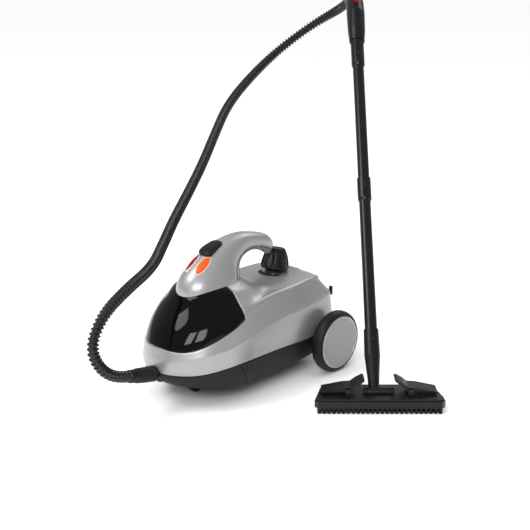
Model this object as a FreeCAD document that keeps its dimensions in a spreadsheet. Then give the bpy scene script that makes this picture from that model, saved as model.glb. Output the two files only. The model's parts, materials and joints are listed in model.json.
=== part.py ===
import FreeCAD, Part
import math
import os
import Sketcher
from FreeCAD import Placement, Rotation, Vector

# A commercial steam cleaner: a wheeled boiler unit with a carrying handle, and a steam gun
# on two extension tubes with a floor brush, joined to the unit by a corrugated hose.
# The unit points along -Y. Every piece of the unit is drawn about the point on the floor
# below the unit's middle; `unit` moves it into the row's frame. The brush and the wand are
# drawn about their own swivel and are turned and leaned into place.

doc = FreeCAD.newDocument("steam_cleaner")

# ---------------------------------------------------------------- driving dimensions
DIMENSIONS = {
    "place_x": -66.3, "place_y": -161,
    # housing outline, one row for each level: height, nose, half width, tail
    "level1_height": 72, "level1_nose": 230, "level1_width": 105, "level1_tail": 136,
    "level2_height": 100, "level2_nose": 228, "level2_width": 105, "level2_tail": 141,
    "level3_height": 130, "level3_nose": 217, "level3_width": 102, "level3_tail": 138,
    "level4_height": 150, "level4_nose": 206, "level4_width": 96, "level4_tail": 130,
    "level5_height": 165, "level5_nose": 197, "level5_width": 90, "level5_tail": 112,
    "shoulder_tail": 0,
    "dome1_height": 180, "dome1_nose": 188, "dome1_width": 80, "dome1_tail": -25,
    "dome2_height": 192, "dome2_nose": 181, "dome2_width": 70, "dome2_tail": -38,
    "dome3_height": 200, "dome3_nose": 176, "dome3_width": 58, "dome3_tail": -47,
    "base1_height": 24, "base1_nose": 196, "base1_width": 80, "base1_tail": 112,
    "base2_height": 34, "base2_nose": 213, "base2_width": 95, "base2_tail": 126,
    "base3_height": 50, "base3_nose": 226, "base3_width": 103, "base3_tail": 133,
    "widest_y": -107, "side_taper": 0.12, "wall": 2.5,
    # wheels
    "axle_y": 95, "wheel_radius": 56, "wheel_face": 128, "wheel_width": 28,
    "disc_radius": 47, "disc_depth": 3, "axle_radius": 4, "axle_half": 124,
    "running_gap": 0.05,
    # caster
    "caster_y": -150, "caster_trail": 8, "caster_radius": 13, "caster_width": 11,
    "caster_well": 27, "stem_radius": 4, "pin_radius": 2,
    # filler, along its own leaning axis
    "filler_y": 57, "filler_z": 166, "filler_lean": 10, "collar_radius": 29.5,
    "neck_radius": 17, "neck_bore": 13, "plug_radius": 12.7,
    "knob_radius": 26, "knob_top": 14.5, "knob_height": 43,
    # boiler
    "boiler_y": 18, "boiler_radius": 58, "boiler_low": 66, "boiler_high": 138,
    "boiler_wall": 2, "flange_radius": 66, "flange_z": 102,
    # hose
    "hose_radius": 10, "outlet_y": -212, "outlet_z": 58, "outlet_lift": 8.366,
    "socket_radius": 16.5,
    # brush and wand
    "brush_x": 270, "brush_y": 23, "brush_turn": 43, "brush_length": 216, "brush_depth": 66,
    "bristle_height": 12, "brush_top": 26, "pivot_x": -8, "pivot_y": -2, "pivot_z": 27,
    "wand_lean": 44.7, "tube_radius": 10.7, "tube_wall": 1.6, "spigot_radius": 9,
    "neck_end": 112, "tube_length": 304, "coupling_radius": 12.8,
    # mains-lead gland
    "gland_x": 0, "gland_z": 96, "gland_bore": 3.6, "gland_length": 24,
}

sheet = doc.addObject("Spreadsheet::Sheet", "Sizes")
for row, (alias, number) in enumerate(DIMENSIONS.items(), start=1):
    sheet.set(f"A{row}", alias)
    sheet.set(f"B{row}", str(number))
    sheet.setAlias(f"B{row}", alias)
doc.recompute()


class Size:
    """A number that carries the spreadsheet formula it comes from."""

    def __init__(self, value, formula=None):
        self.value = float(value)
        self.formula = formula if formula else repr(self.value)

    def combined(self, other, sign, value, swap=False):
        other = other if isinstance(other, Size) else Size(other)
        left, right = (other, self) if swap else (self, other)
        return Size(value, f"({left.formula} {sign} {right.formula})")

    def __add__(self, other):
        return self.combined(other, "+", self.value + float(other))

    def __radd__(self, other):
        return self.combined(other, "+", float(other) + self.value, swap=True)

    def __sub__(self, other):
        return self.combined(other, "-", self.value - float(other))

    def __rsub__(self, other):
        return self.combined(other, "-", float(other) - self.value, swap=True)

    def __mul__(self, other):
        return self.combined(other, "*", self.value * float(other))

    def __rmul__(self, other):
        return self.combined(other, "*", self.value * float(other), swap=True)

    def __truediv__(self, other):
        return self.combined(other, "/", self.value / float(other))

    def __neg__(self):
        return Size(-self.value, f"(0 - {self.formula})")

    def __float__(self):
        return self.value


def size(alias):
    return Size(sheet.get(alias), f"{sheet.Name}.{alias}")


def number(alias):
    return float(sheet.get(alias))


unit = Placement(Vector(number("place_x"), number("place_y"), 0), Rotation())
brush = unit * Placement(
    Vector(number("brush_x"), number("brush_y"), 0),
    Rotation(Vector(0, 0, 1), number("brush_turn")))
wand = brush * Placement(
    Vector(number("pivot_x"), number("pivot_y"), number("pivot_z")),
    Rotation(Vector(1, 0, 0), -number("wand_lean")))
filler = unit * Placement(
    Vector(0, number("filler_y"), number("filler_z")),
    Rotation(Vector(1, 0, 0), -number("filler_lean")))
outlet = unit * Placement(
    Vector(0, number("outlet_y"), number("outlet_z")),
    Rotation(Vector(1, 0, 0), 90 - number("outlet_lift")))

nodes = {}


def bind(item, **sizes):
    """Set properties of a document object and bind each Size to its cells."""
    for name, wanted in sizes.items():
        if isinstance(wanted, Size):
            setattr(item, name, wanted.value)
            item.setExpression(name, wanted.formula)
        else:
            setattr(item, name, wanted)
    return item


def plane_of(body, role):
    return next(part for part in body.Origin.OriginFeatures if part.Role == role)


def hold(sketch, geometry, point, axis, wanted):
    """Fix one coordinate of a sketch point to a Size, whatever its sign."""
    kind = "DistanceX" if axis == 0 else "DistanceY"
    if abs(float(wanted)) < 1e-9:
        sketch.addConstraint(Sketcher.Constraint("PointOnObject", geometry, point, -2 + axis))
        return
    if float(wanted) > 0:
        ends, shown = (-1, 1, geometry, point), wanted
    else:
        ends, shown = (geometry, point, -1, 1), -wanted if isinstance(wanted, Size) else -wanted
    place = sketch.addConstraint(Sketcher.Constraint(kind, *ends, float(shown)))
    if isinstance(shown, Size):
        sketch.setExpression(f"Constraints[{place}]", shown.formula)


def outline(body, role, points, name):
    """A closed sketch of straight lines through (x, y) pairs of sizes."""
    sketch = body.newObject("Sketcher::SketchObject", name)
    sketch.AttachmentSupport = [(plane_of(body, role), "")]
    sketch.MapMode = "FlatFace"
    corners = [Vector(float(x), float(y), 0) for x, y in points]
    count = len(corners)
    for index in range(count):
        sketch.addGeometry(Part.LineSegment(corners[index], corners[(index + 1) % count]))
    for index in range(count):
        sketch.addConstraint(
            Sketcher.Constraint("Coincident", index, 2, (index + 1) % count, 1))
    for index, (x, y) in enumerate(points):
        hold(sketch, index, 1, 0, x)
        hold(sketch, index, 1, 1, y)
    return sketch


def body_named(label):
    body = doc.addObject("PartDesign::Body", label)
    body.Label = label
    return body


def lathe(label, profile, place=None):
    """A body turned about its own Z axis from a profile of (radius, height) pairs."""
    body = body_named(label)
    sketch = outline(body, "XZ_Plane", profile, label + "_profile")
    turn = body.newObject("PartDesign::Revolution", label + "_turn")
    turn.Profile = sketch
    turn.ReferenceAxis = (sketch, ["V_Axis"])
    turn.Angle = 360
    if place:
        body.Placement = place
    return body


def cylinder(label, radius, height, place=None):
    item = bind(doc.addObject("Part::Cylinder", label), Radius=radius, Height=height)
    item.Placement = place or Placement()
    return item


def box(label, length, width, height, place=None):
    item = bind(doc.addObject("Part::Box", label), Length=length, Width=width, Height=height)
    item.Placement = place or Placement()
    return item


def fuse(label, parts):
    item = doc.addObject("Part::MultiFuse", label)
    item.Shapes = parts
    return item


def cut(label, base, tool):
    item = doc.addObject("Part::Cut", label)
    item.Base = base
    item.Tool = tool
    return item


def feature(label, shape, place=None):
    item = doc.addObject("Part::Feature", label)
    item.Shape = shape
    if place:
        item.Placement = place
    return item


def node(name, item, place=None):
    """Keep an object as one sub-part, under its own label."""
    item.Label = name
    if place:
        item.Placement = place * item.Placement
    nodes[name] = item
    return item


def at(x=0, y=0, z=0, axis=(0, 0, 1), angle=0):
    return Placement(Vector(float(x), float(y), float(z)), Rotation(Vector(*axis), angle))


ALONG_X = Rotation(Vector(0, 1, 0), 90)
ALONG_MINUS_X = Rotation(Vector(0, 1, 0), -90)
ALONG_Y = Rotation(Vector(1, 0, 0), -90)
ALONG_MINUS_Y = Rotation(Vector(1, 0, 0), 90)

# ---------------------------------------------------------------- housing
NOSE_ROUNDNESS = 2.0
TAIL_SQUARENESS = 5.0
OUTLINE_STEPS = 32


def closed_curve(poles):
    """A smooth closed curve drawn inside its control points, which never overshoots."""
    curve = Part.BSplineCurve()
    curve.buildFromPoles(poles, True, 3)
    return Part.Wire([curve.toShape()])


def housing_outline(height, nose, width, tail, squareness, inset=0.0):
    """A closed curve round the housing: a round nose and a tapering, squarer tail."""
    widest = number("widest_y")
    points = []
    for step in range(OUTLINE_STEPS):
        turn = math.pi + 2 * math.pi * step / OUTLINE_STEPS
        side, ahead = math.sin(turn), math.cos(turn)
        if ahead > 0:
            power = 2 / NOSE_ROUNDNESS
            reach = (nose - inset) + widest
            y = widest - reach * ahead ** power
            x = (width - inset) * math.copysign(abs(side) ** power, side)
        else:
            power = 2 / squareness
            reach = (tail - inset) - widest
            y = widest + reach * abs(ahead) ** power
            narrowed = width - inset - number("side_taper") * (y - widest)
            x = narrowed * math.copysign(abs(side) ** power, side)
        points.append(Vector(x, y, height))
    return closed_curve(points)


def level(name, squareness, inset=0.0, drop=0.0):
    """One level of the housing, read from the sheet."""
    return housing_outline(
        number(name + "_height") - drop, number(name + "_nose"), number(name + "_width"),
        number(name + "_tail"), squareness, inset)


def loft(wires):
    return Part.makeLoft(wires, True, True)


def upper_block(inset=0.0, drop=0.0):
    """The upper housing as a closed block: the long body, then the dome on its front."""
    names = ["level1", "level2", "level3", "level4", "level5"]
    wires = [level(name, TAIL_SQUARENESS, inset, drop) for name in names]
    long_body = loft(wires)
    shoulder = housing_outline(
        number("level5_height") - drop, number("level5_nose"), number("level5_width"),
        number("shoulder_tail"), NOSE_ROUNDNESS, inset)
    dome = [level(name, NOSE_ROUNDNESS, inset, drop) for name in ["dome1", "dome2", "dome3"]]
    return long_body.fuse(loft([shoulder] + dome)).removeSplitter()


def prism(corners, half_width):
    """A side-view outline of (y, z) corners, extruded both ways along X."""
    points = [Vector(-half_width, y, z) for y, z in corners]
    wire = Part.makePolygon(points + points[:1])
    return Part.Face(wire).extrude(Vector(2 * half_width, 0, 0))


def post(radius, x, y, low, high):
    return Part.makeCylinder(radius, high - low, Vector(x, y, low))


wall = number("wall")
filler_axis = filler.Rotation.multVec(Vector(0, 0, 1))
filler_point = Vector(0, number("filler_y"), number("filler_z"))
outlet_axis = Vector(0, -math.cos(math.radians(number("outlet_lift"))),
                     math.sin(math.radians(number("outlet_lift"))))
outlet_point = Vector(0, number("outlet_y"), number("outlet_z"))
socket_hole = Part.makeCylinder(
    number("socket_radius"), 80, outlet_point - outlet_axis * 40, outlet_axis)
SCREW_PLACES = [(96, -107), (83, 0), (40, 127)]
SCREW_HEAD_Z = 44
SCREW_TIP_Z = 90
SCREW_RADIUS = 1.7
split_z = number("level1_height")

outer = upper_block()
upper = outer.cut(upper_block(wall, wall))
for x, y in SCREW_PLACES:
    for side in (-1, 1):
        boss = post(7, side * x, y, split_z, SCREW_TIP_Z + 4).common(outer)
        upper = upper.fuse(boss).cut(post(SCREW_RADIUS, side * x, y, split_z - 1, SCREW_TIP_Z))
upper = upper.cut(Part.makeCylinder(
    number("collar_radius"), 30, filler_point - filler_axis * 15, filler_axis))
upper = upper.cut(socket_hole)
gland_hole = Part.makeCylinder(
    8, 40, Vector(number("gland_x"), 120, number("gland_z")), Vector(0, 1, 0))
upper = upper.cut(gland_hole)

# the smoked panel wraps the nose; its lower edge sweeps up towards the back
VISOR_LOW_EDGE = [(-260, 98), (-222, 98), (-196, 101), (-168, 109), (-141, 123), (-109, 148)]
VISOR_BACK_EDGE = [(-110, 166), (-107, 196)]
low_curve = Part.BSplineCurve()
low_curve.interpolate([Vector(-130, y, z) for y, z in VISOR_LOW_EDGE])
back = [Vector(-130, y, z) for y, z in [VISOR_LOW_EDGE[-1]] + VISOR_BACK_EDGE]
back += [Vector(-130, -260, 196), Vector(-130, *VISOR_LOW_EDGE[0])]
visor_wire = Part.Wire([low_curve.toShape()] + Part.makePolygon(back).Edges)
visor_prism = Part.Face(visor_wire).extrude(Vector(260, 0, 0))
TONGUE_HALF_WIDTH = 12
tongue = Part.makeCylinder(TONGUE_HALF_WIDTH, 80, Vector(0, -260, 97), Vector(0, 1, 0))
node("visor_panel", feature("visor_panel", upper.common(visor_prism).cut(tongue)), unit)
upper = upper.cut(visor_prism.cut(tongue))

# lower housing: a tub with wheel bosses, a caster well and screw bosses
base_names = ["base1", "base2", "base3", "level1"]
tub_outer = loft([level(name, TAIL_SQUARENESS) for name in base_names])
inner_wires = [level(name, TAIL_SQUARENESS, wall, -wall) for name in base_names[:3]]
inner_wires.append(level("level1", TAIL_SQUARENESS, wall, -1))
lower = tub_outer.cut(loft(inner_wires))
axle_y = number("axle_y")
axle_z = number("wheel_radius")
BOSS_RADIUS = 20
BOSS_INNER_X = 62
boss_outer_x = number("wheel_face") - number("wheel_width") - 1
for side in (-1, 1):
    start = Vector(side * BOSS_INNER_X, axle_y, axle_z)
    lower = lower.fuse(Part.makeCylinder(
        BOSS_RADIUS, boss_outer_x - BOSS_INNER_X, start, Vector(side, 0, 0)))
upper = upper.cut(Part.makeCylinder(
    BOSS_RADIUS, 2 * boss_outer_x, Vector(-boss_outer_x, axle_y, axle_z), Vector(1, 0, 0)))
for x, y in SCREW_PLACES:
    for side in (-1, 1):
        boss = post(7, side * x, y, 20, split_z).common(tub_outer)
        lower = lower.fuse(boss)
        lower = lower.cut(post(4, side * x, y, 0, SCREW_HEAD_Z + 3))
        lower = lower.cut(post(SCREW_RADIUS, side * x, y, 0, split_z + 1))
WELL_TOP = 42
STEM_TIP = 56
caster_y = number("caster_y")
well = number("caster_well")
lower = lower.fuse(post(well + wall, 0, caster_y, number("base1_height"), WELL_TOP + wall))
lower = lower.fuse(post(9, 0, caster_y, WELL_TOP, STEM_TIP + wall))
lower = lower.cut(post(well, 0, caster_y, 0, WELL_TOP))
stem_bore = number("stem_radius") + number("running_gap")
lower = lower.cut(post(stem_bore, 0, caster_y, WELL_TOP - 1, STEM_TIP))
lower = lower.cut(Part.makeCylinder(
    number("axle_radius"), 2 * boss_outer_x + 2, Vector(-boss_outer_x - 1, axle_y, axle_z),
    Vector(1, 0, 0)))
lower = lower.cut(socket_hole)
node("upper_shell", feature("upper_shell", upper), unit)
node("lower_base", feature("lower_base", lower), unit)

screws = []
for x, y in SCREW_PLACES:
    for side in (-1, 1):
        screws.append(post(3.8, side * x, y, SCREW_HEAD_Z, SCREW_HEAD_Z + 3).fuse(
            post(SCREW_RADIUS, side * x, y, SCREW_HEAD_Z + 3, SCREW_TIP_Z)).removeSplitter())
node("housing_screws", feature("housing_screws", Part.makeCompound(screws)), unit)

# ---------------------------------------------------------------- handle
OVAL_STEPS = 16
# each station across the handle: outer edge (y, z), inner edge (y, z), half width
HANDLE_STATIONS = [
    ((-178, 200), (-46, 200), 52), ((-171, 215), (-46.5, 206), 45),
    ((-151, 229.5), (-46, 212), 37), ((-122.5, 243.5), (-43, 219), 30),
    ((-80, 257), (-34, 225), 24), ((-34, 262), (-24, 228), 20.5),
    ((-3.6, 258), (-4, 228.5), 19), ((27.7, 249.4), (20, 221.5), 18),
    ((45.5, 233.5), (34, 213), 13), ((49, 222.5), (41, 212.5), 6)]


def oval(middle, side, up, half_side, half_up):
    """A closed smooth curve: an ellipse about `middle` in the plane of two directions."""
    swell = 3 / (2 + math.cos(2 * math.pi / OVAL_STEPS))
    poles = []
    for step in range(OVAL_STEPS):
        turn = 2 * math.pi * step / OVAL_STEPS
        poles.append(middle + side * (swell * half_side * math.cos(turn))
                     + up * (swell * half_up * math.sin(turn)))
    return closed_curve(poles)


def handle_block(stations, inset=0.0):
    wires = []
    for outer_edge, inner_edge, half_width in stations:
        outer_point = Vector(0, *outer_edge)
        inner_point = Vector(0, *inner_edge)
        across = outer_point - inner_point
        half_across = across.Length / 2 - inset
        across.normalize()
        wires.append(oval((outer_point + inner_point) * 0.5, Vector(1, 0, 0), across,
                          half_width - inset, half_across))
    return loft(wires)


HANDLE_WALL = 2.5
handle_outer = handle_block(HANDLE_STATIONS)
handle_hollow = handle_block(HANDLE_STATIONS[:-1], HANDLE_WALL)
handle = handle_outer.cut(handle_hollow)
# the cover strip runs along the inner edge of the grip
STRIP_DEPTH = 6
inner_edge = [Vector(0, y, z) for _, (y, z), _ in HANDLE_STATIONS[1:-1]]
strip_far = []
strip_near = []
for index, point in enumerate(inner_edge):
    before = inner_edge[max(index - 1, 0)]
    after = inner_edge[min(index + 1, len(inner_edge) - 1)]
    inward = (after - before).cross(Vector(1, 0, 0)).normalize()
    strip_far.append(point + inward * STRIP_DEPTH)
    strip_near.append(point - inward * STRIP_DEPTH)
strip_corners = [(p.y, p.z) for p in strip_far + strip_near[::-1]]
strip_prism = prism(strip_corners, 60)
node("handle_underside", feature("handle_underside", handle.common(strip_prism)), unit)
handle = handle.cut(strip_prism)

# rocker switch on the crown, two oval lenses in front of it
rocker_place = at(0, -99, 246, (1, 0, 0), 17)
ROCKER_SLOT = 1.0


def rocker_block(grow, low, high):
    half_front, half_back, half_length = 15 + grow, 12 + grow, 21 + grow
    corners = [(-half_front, -half_length), (half_front, -half_length),
               (half_back, half_length), (-half_back, half_length)]
    wire = Part.makePolygon([Vector(x, y, low) for x, y in corners + corners[:1]])
    block = Part.Face(wire).extrude(Vector(0, 0, high - low))
    uprights = [edge for edge in block.Edges
                if abs(edge.Vertexes[0].Z - edge.Vertexes[1].Z) > 1]
    return block.makeFillet(5 + grow, uprights)


slot_block = rocker_block(ROCKER_SLOT, -6, 34)
slot_block.Placement = rocker_place
handle = handle.cut(slot_block)
# the key rocks on a round bar across its underside
ROCKER_BAR_RADIUS = 4.9
ROCKER_BAR_HALF = 10
rocker_bar = Part.makeCylinder(
    ROCKER_BAR_RADIUS, 2 * ROCKER_BAR_HALF, Vector(-ROCKER_BAR_HALF, 0, 0), Vector(1, 0, 0))
rocker = rocker_block(0, -2, 5).fuse(rocker_bar).removeSplitter()
node("power_rocker", feature("power_rocker", rocker), unit * rocker_place)

lens_tools = {}
for lens_name, side in (("lens_red", -1), ("lens_amber", 1)):
    lens_place = at(side * 11.5, -146, 222, (1, 0, 0), 33) * at(
        axis=(0, 1, 0), angle=side * 14)
    lens_wire = oval(Vector(), Vector(1, 0, 0), Vector(0, 1, 0), 7.5, 13.5)
    lens_tool = Part.Face(lens_wire).extrude(Vector(0, 0, 40))
    lens_tool.Placement = lens_place
    lens_tools[lens_name] = lens_tool
    node(lens_name, feature(lens_name, handle_outer.common(lens_tool).cut(handle_hollow)), unit)
    handle = handle.cut(lens_tool)
node("handle_cover", feature("handle_cover", handle), unit)
switch_place = unit * rocker_place * at(-10, -15, -27)
node("switch_module", box("switch_module", 20, 30, 18), switch_place)
lamps = [post(3, side * 9, 0, 0, 14) for side in (-1, 1)]
lamp_place = unit * at(0, -139, 206, (1, 0, 0), 33)
node("indicator_lamps", feature("indicator_lamps", Part.makeCompound(lamps)), lamp_place)

# ---------------------------------------------------------------- filler and safety cap
collar = lathe("filler_collar", [
    (19, -6), (size("collar_radius"), -6), (size("collar_radius"), 2), (26, 4), (19, 4)],
    filler)
node("filler_collar", collar)
NECK_LOW = -36
NECK_RIM = 3
SEAL_TOP = 5.5
neck = lathe("filler_neck", [
    (size("neck_bore"), NECK_LOW), (size("neck_radius"), NECK_LOW),
    (size("neck_radius"), NECK_RIM), (size("neck_bore"), NECK_RIM)], filler)
node("filler_neck", neck)
seal = lathe("cap_seal", [
    (size("plug_radius") + 0.2, NECK_RIM), (size("neck_radius") - 0.7, NECK_RIM),
    (size("neck_radius") - 0.7, SEAL_TOP), (size("plug_radius") + 0.2, SEAL_TOP)], filler)
node("cap_seal", seal)
PLUG_LOW = -22
FLANGE_TOP = 8
plug = lathe("cap_plug", [
    (0, PLUG_LOW), (size("plug_radius") - 2, PLUG_LOW), (size("plug_radius"), PLUG_LOW + 2),
    (size("plug_radius"), SEAL_TOP), (size("neck_radius") - 0.5, SEAL_TOP),
    (size("neck_radius") - 0.5, FLANGE_TOP), (0, FLANGE_TOP)], filler)
node("cap_plug", plug)
knob_radius = size("knob_radius")
knob_height = size("knob_height") + FLANGE_TOP
knob = lathe("cap_knob", [
    (0, FLANGE_TOP), (14, FLANGE_TOP), (14, 10.5), (knob_radius - 1, 11), (knob_radius, 13.5),
    (knob_radius - 1, 23), (knob_radius - 5, 36), (size("knob_top") + 2.5, knob_height - 4),
    (size("knob_top"), knob_height), (0, knob_height)], filler)
node("cap_knob", knob)

# ---------------------------------------------------------------- boiler and its fittings
boiler_place = unit * at(0, number("boiler_y"), 0)
boiler_radius = size("boiler_radius")
flange_radius = size("flange_radius")
flange_z = size("flange_z")
boiler_inner = boiler_radius - size("boiler_wall")
boiler_low = size("boiler_low")
boiler_high = size("boiler_high")
GASKET = 1
FLANGE = 2
boiler_top = lathe("boiler_top_raw", [
    (0, boiler_high), (boiler_radius - 6, boiler_high), (boiler_radius, boiler_high - 6),
    (boiler_radius, flange_z + FLANGE), (flange_radius, flange_z + FLANGE),
    (flange_radius, flange_z), (boiler_inner, flange_z), (boiler_inner, boiler_high - 7),
    (boiler_radius - 7, boiler_high - 2), (0, boiler_high - 2)], boiler_place)
gasket_z = flange_z - GASKET
boiler_bottom = lathe("boiler_bottom_raw", [
    (0, boiler_low), (boiler_radius - 6, boiler_low), (boiler_radius, boiler_low + 6),
    (boiler_radius, gasket_z - FLANGE), (flange_radius, gasket_z - FLANGE),
    (flange_radius, gasket_z), (boiler_inner, gasket_z), (boiler_inner, boiler_low + 7),
    (boiler_radius - 7, boiler_low + 2), (0, boiler_low + 2)], boiler_place)
gasket = lathe("gasket_raw", [
    (boiler_inner, gasket_z), (flange_radius, gasket_z),
    (flange_radius, flange_z), (boiler_inner, flange_z)], boiler_place)
BOLT_COUNT = 8
BOLT_CIRCLE = 62.3
bolt_shapes = []
shank_shapes = []
for index in range(BOLT_COUNT):
    turn = 2 * math.pi * (index + 0.5) / BOLT_COUNT
    x, y = BOLT_CIRCLE * math.cos(turn), BOLT_CIRCLE * math.sin(turn)
    shank = post(1.8, x, y, 96, 106)
    shank_shapes.append(shank)
    bolt = shank.fuse([post(3.2, x, y, 104, 107), post(3.2, x, y, 96, 99)])
    bolt_shapes.append(bolt.removeSplitter())
shanks = feature("bolt_shanks", Part.makeCompound(shank_shapes), boiler_place)
neck_hole = cylinder("neck_hole", size("neck_radius"), 60, filler * at(0, 0, NECK_LOW - 20))
pipe_hole = cylinder("pipe_hole", 3, 20, unit * at(0, -30, 120) * Placement(
    Vector(), ALONG_MINUS_Y))
boiler_tools = fuse("boiler_tools", [shanks, neck_hole, pipe_hole])
node("boiler_upper", cut("boiler_upper", boiler_top, boiler_tools))
node("boiler_lower", cut("boiler_lower", boiler_bottom, shanks))
node("boiler_gasket", cut("boiler_gasket", gasket, shanks))
node("boiler_bolts", feature("boiler_bolts", Part.makeCompound(bolt_shapes)), boiler_place)

ring = doc.addObject("Part::Torus", "element_ring")
bind(ring, Radius1=44, Radius2=4)
ring.Placement = at(0, 0, 62)
terminal_left = cylinder("terminal_left", 2.5, 12, at(-10, -42.8, 50))
terminal_right = cylinder("terminal_right", 2.5, 12, at(10, -42.8, 50))
element = fuse("heating_element", [ring, terminal_left, terminal_right])
node("heating_element", element, boiler_place)
node("thermostat", cylinder("thermostat", 9, 8, at(0, 0, 58)), boiler_place)
fuse_place = at(-11, 22, 62.8) * Placement(Vector(), ALONG_X)
node("thermal_fuse", cylinder("thermal_fuse", 3, 22, fuse_place), boiler_place)
node("pressure_switch", cylinder("pressure_switch", 8, 16, at(-28, -12, 138)), boiler_place)
valve_profile = [(0, 138), (5, 138), (5, 144), (3.5, 146), (3.5, 154), (0, 154)]
node("safety_valve", lathe("safety_valve", valve_profile, boiler_place * at(28, -12)))

# ---------------------------------------------------------------- steam and mains inside
valve_place = unit * at(0, -92, 0)
valve_body = box("valve_body", 28, 34, 24, at(-14, -17, 64))
valve_coil = cylinder("valve_coil", 10, 20, at(0, 3, 88))
valve_raw = fuse("valve_raw", [valve_body, valve_coil])
valve_bore_hose = cylinder("valve_bore_hose", 3, 12, Placement(
    Vector(0, -6, 76), ALONG_MINUS_Y))
valve_bore_boiler = cylinder("valve_bore_boiler", 3, 12, Placement(
    Vector(0, 6, 72), ALONG_Y))
valve_bores = fuse("valve_bores", [valve_bore_hose, valve_bore_boiler])
node("steam_valve", cut("steam_valve", valve_raw, valve_bores), valve_place)


def rounded_path(points, radii):
    """Straight runs through the points, joined by tangent arcs of the given radii."""
    edges = []
    start = points[0]
    for index, radius in enumerate(radii, start=1):
        corner = points[index]
        back = (points[index - 1] - corner).normalize()
        ahead = (points[index + 1] - corner).normalize()
        half = back.getAngle(ahead) / 2
        setback = radius / math.tan(half)
        first = corner + back * setback
        last = corner + ahead * setback
        bisector = (back + ahead).normalize()
        middle = corner + bisector * (radius / math.sin(half) - radius)
        edges.append(Part.LineSegment(start, first).toShape())
        edges.append(Part.Arc(first, middle, last).toShape())
        start = last
    edges.append(Part.LineSegment(start, points[-1]).toShape())
    return edges


def pipe_along(edges, radius):
    """A round bar swept along joined edges."""
    first = edges[0]
    start = first.valueAt(first.FirstParameter)
    direction = first.tangentAt(first.FirstParameter)
    circle = Part.Wire([Part.makeCircle(radius, start, direction)])
    return Part.Wire(edges).makePipeShell([circle], True, False, 2)


PIPE_RADIUS = 3
PIPE_BEND = 9
boiler_pipe = rounded_path([
    Vector(0, number("boiler_y") - number("boiler_radius") + 2, 120), Vector(0, -58, 120),
    Vector(0, -58, 72), Vector(0, -74, 72)], [PIPE_BEND, PIPE_BEND])
hose_pipe_end = outlet_point - outlet_axis * 16
hose_pipe = rounded_path([
    Vector(0, -110, 76), Vector(0, -150, 76), hose_pipe_end - outlet_axis * 14,
    hose_pipe_end], [30, 20])
steam_pipes = Part.makeCompound([
    pipe_along(boiler_pipe, PIPE_RADIUS), pipe_along(hose_pipe, PIPE_RADIUS)])
node("steam_pipes", feature("steam_pipes", steam_pipes), unit)
node("terminal_block", box("terminal_block", 44, 16, 18, at(24, -84, 27)), unit)

# the gland grips the lead in its outer half, behind the rear wall
GLAND_BACK_Y = 132
GLAND_GRIP = 12
gland_bore = size("gland_bore")
gland_length = size("gland_length")
gland_grip = gland_length - GLAND_GRIP
gland = lathe("cord_gland", [
    (5, 0), (7.9, 0), (7.9, 10), (11, 10), (9, gland_length), (gland_bore, gland_length),
    (gland_bore, gland_grip), (5, gland_grip)],
    unit * Placement(Vector(number("gland_x"), GLAND_BACK_Y, number("gland_z")), ALONG_Y))
node("cord_gland", gland)
hook_shapes = []
for side in (-1, 1):
    arm = Part.makeBox(6, 16, 5, Vector(-3, -10, 0))
    tip = Part.makeBox(6, 4, 16, Vector(-3, 6, 0))
    hook_shape = arm.fuse(tip).removeSplitter()
    hook_shape.Placement = at(side * 60, 140, 118)
    hook_shapes.append(hook_shape.cut(outer))
node("cord_hooks", feature("cord_hooks", Part.makeCompound(hook_shapes)), unit)

# ---------------------------------------------------------------- road wheels
wheel_radius = size("wheel_radius")
wheel_width = size("wheel_width")
disc_radius = size("disc_radius")
disc_back = wheel_width - size("disc_depth")
hub_bore = size("axle_radius") + size("running_gap")
axle_reach = size("axle_half") - size("wheel_face") + wheel_width
hub_end = axle_reach + 0.3
WHEEL_PROFILE = [
    (hub_bore, 0), (16, 0), (16, 5), (wheel_radius - 6, 4), (wheel_radius - 1.5, 7),
    (wheel_radius, 11), (wheel_radius, 19), (wheel_radius - 1.5, 23.5),
    (disc_radius + 3, wheel_width - 0.6), (disc_radius, wheel_width - 0.6),
    (disc_radius, disc_back), (0, disc_back), (0, hub_end), (hub_bore, hub_end)]
DISC_PROFILE = [(0, disc_back), (disc_radius, disc_back), (disc_radius, wheel_width - 0.8),
                (disc_radius - 0.8, wheel_width), (0, wheel_width)]
hub_x = number("wheel_face") - number("wheel_width")
for name, side, turn in (("left", 1, ALONG_X), ("right", -1, ALONG_MINUS_X)):
    place = unit * Placement(Vector(side * hub_x, axle_y, axle_z), turn)
    node(f"{name}_wheel", lathe(f"{name}_wheel", WHEEL_PROFILE, place))
    node(f"{name}_wheel_disc", lathe(f"{name}_wheel_disc", DISC_PROFILE, place))
axle_start = Placement(Vector(-number("axle_half"), axle_y, axle_z), ALONG_X)
axle = cylinder("rear_axle", size("axle_radius"), 2 * size("axle_half"), axle_start)
node("rear_axle", axle, unit)

# ---------------------------------------------------------------- front caster
CHEEK_INNER = 6
CHEEK_OUTER = 9
FORK_PLATE_Z = 34
caster_place = unit * at(0, caster_y, 0)
caster_radius = size("caster_radius")
caster_trail = number("caster_trail")
stem = cylinder("caster_stem", size("stem_radius"), STEM_TIP - 1 - FORK_PLATE_Z,
                at(0, 0, FORK_PLATE_Z))
fork_plate = cylinder("fork_plate", 13, 4, at(0, 0, FORK_PLATE_Z))
cheeks = [box(f"fork_cheek_{side}", CHEEK_OUTER - CHEEK_INNER, 14, FORK_PLATE_Z - 7,
              at(x, caster_trail - 8, 8))
          for side, x in (("left", CHEEK_INNER), ("right", -CHEEK_OUTER))]
fork_raw = fuse("fork_raw", [stem, fork_plate] + cheeks)
pin_start = Placement(Vector(-CHEEK_OUTER, caster_trail, number("caster_radius")), ALONG_X)
fork_bore = cylinder("fork_bore", size("pin_radius"), 2 * CHEEK_OUTER, pin_start)
node("caster_fork", cut("caster_fork", fork_raw, fork_bore), caster_place)
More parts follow.
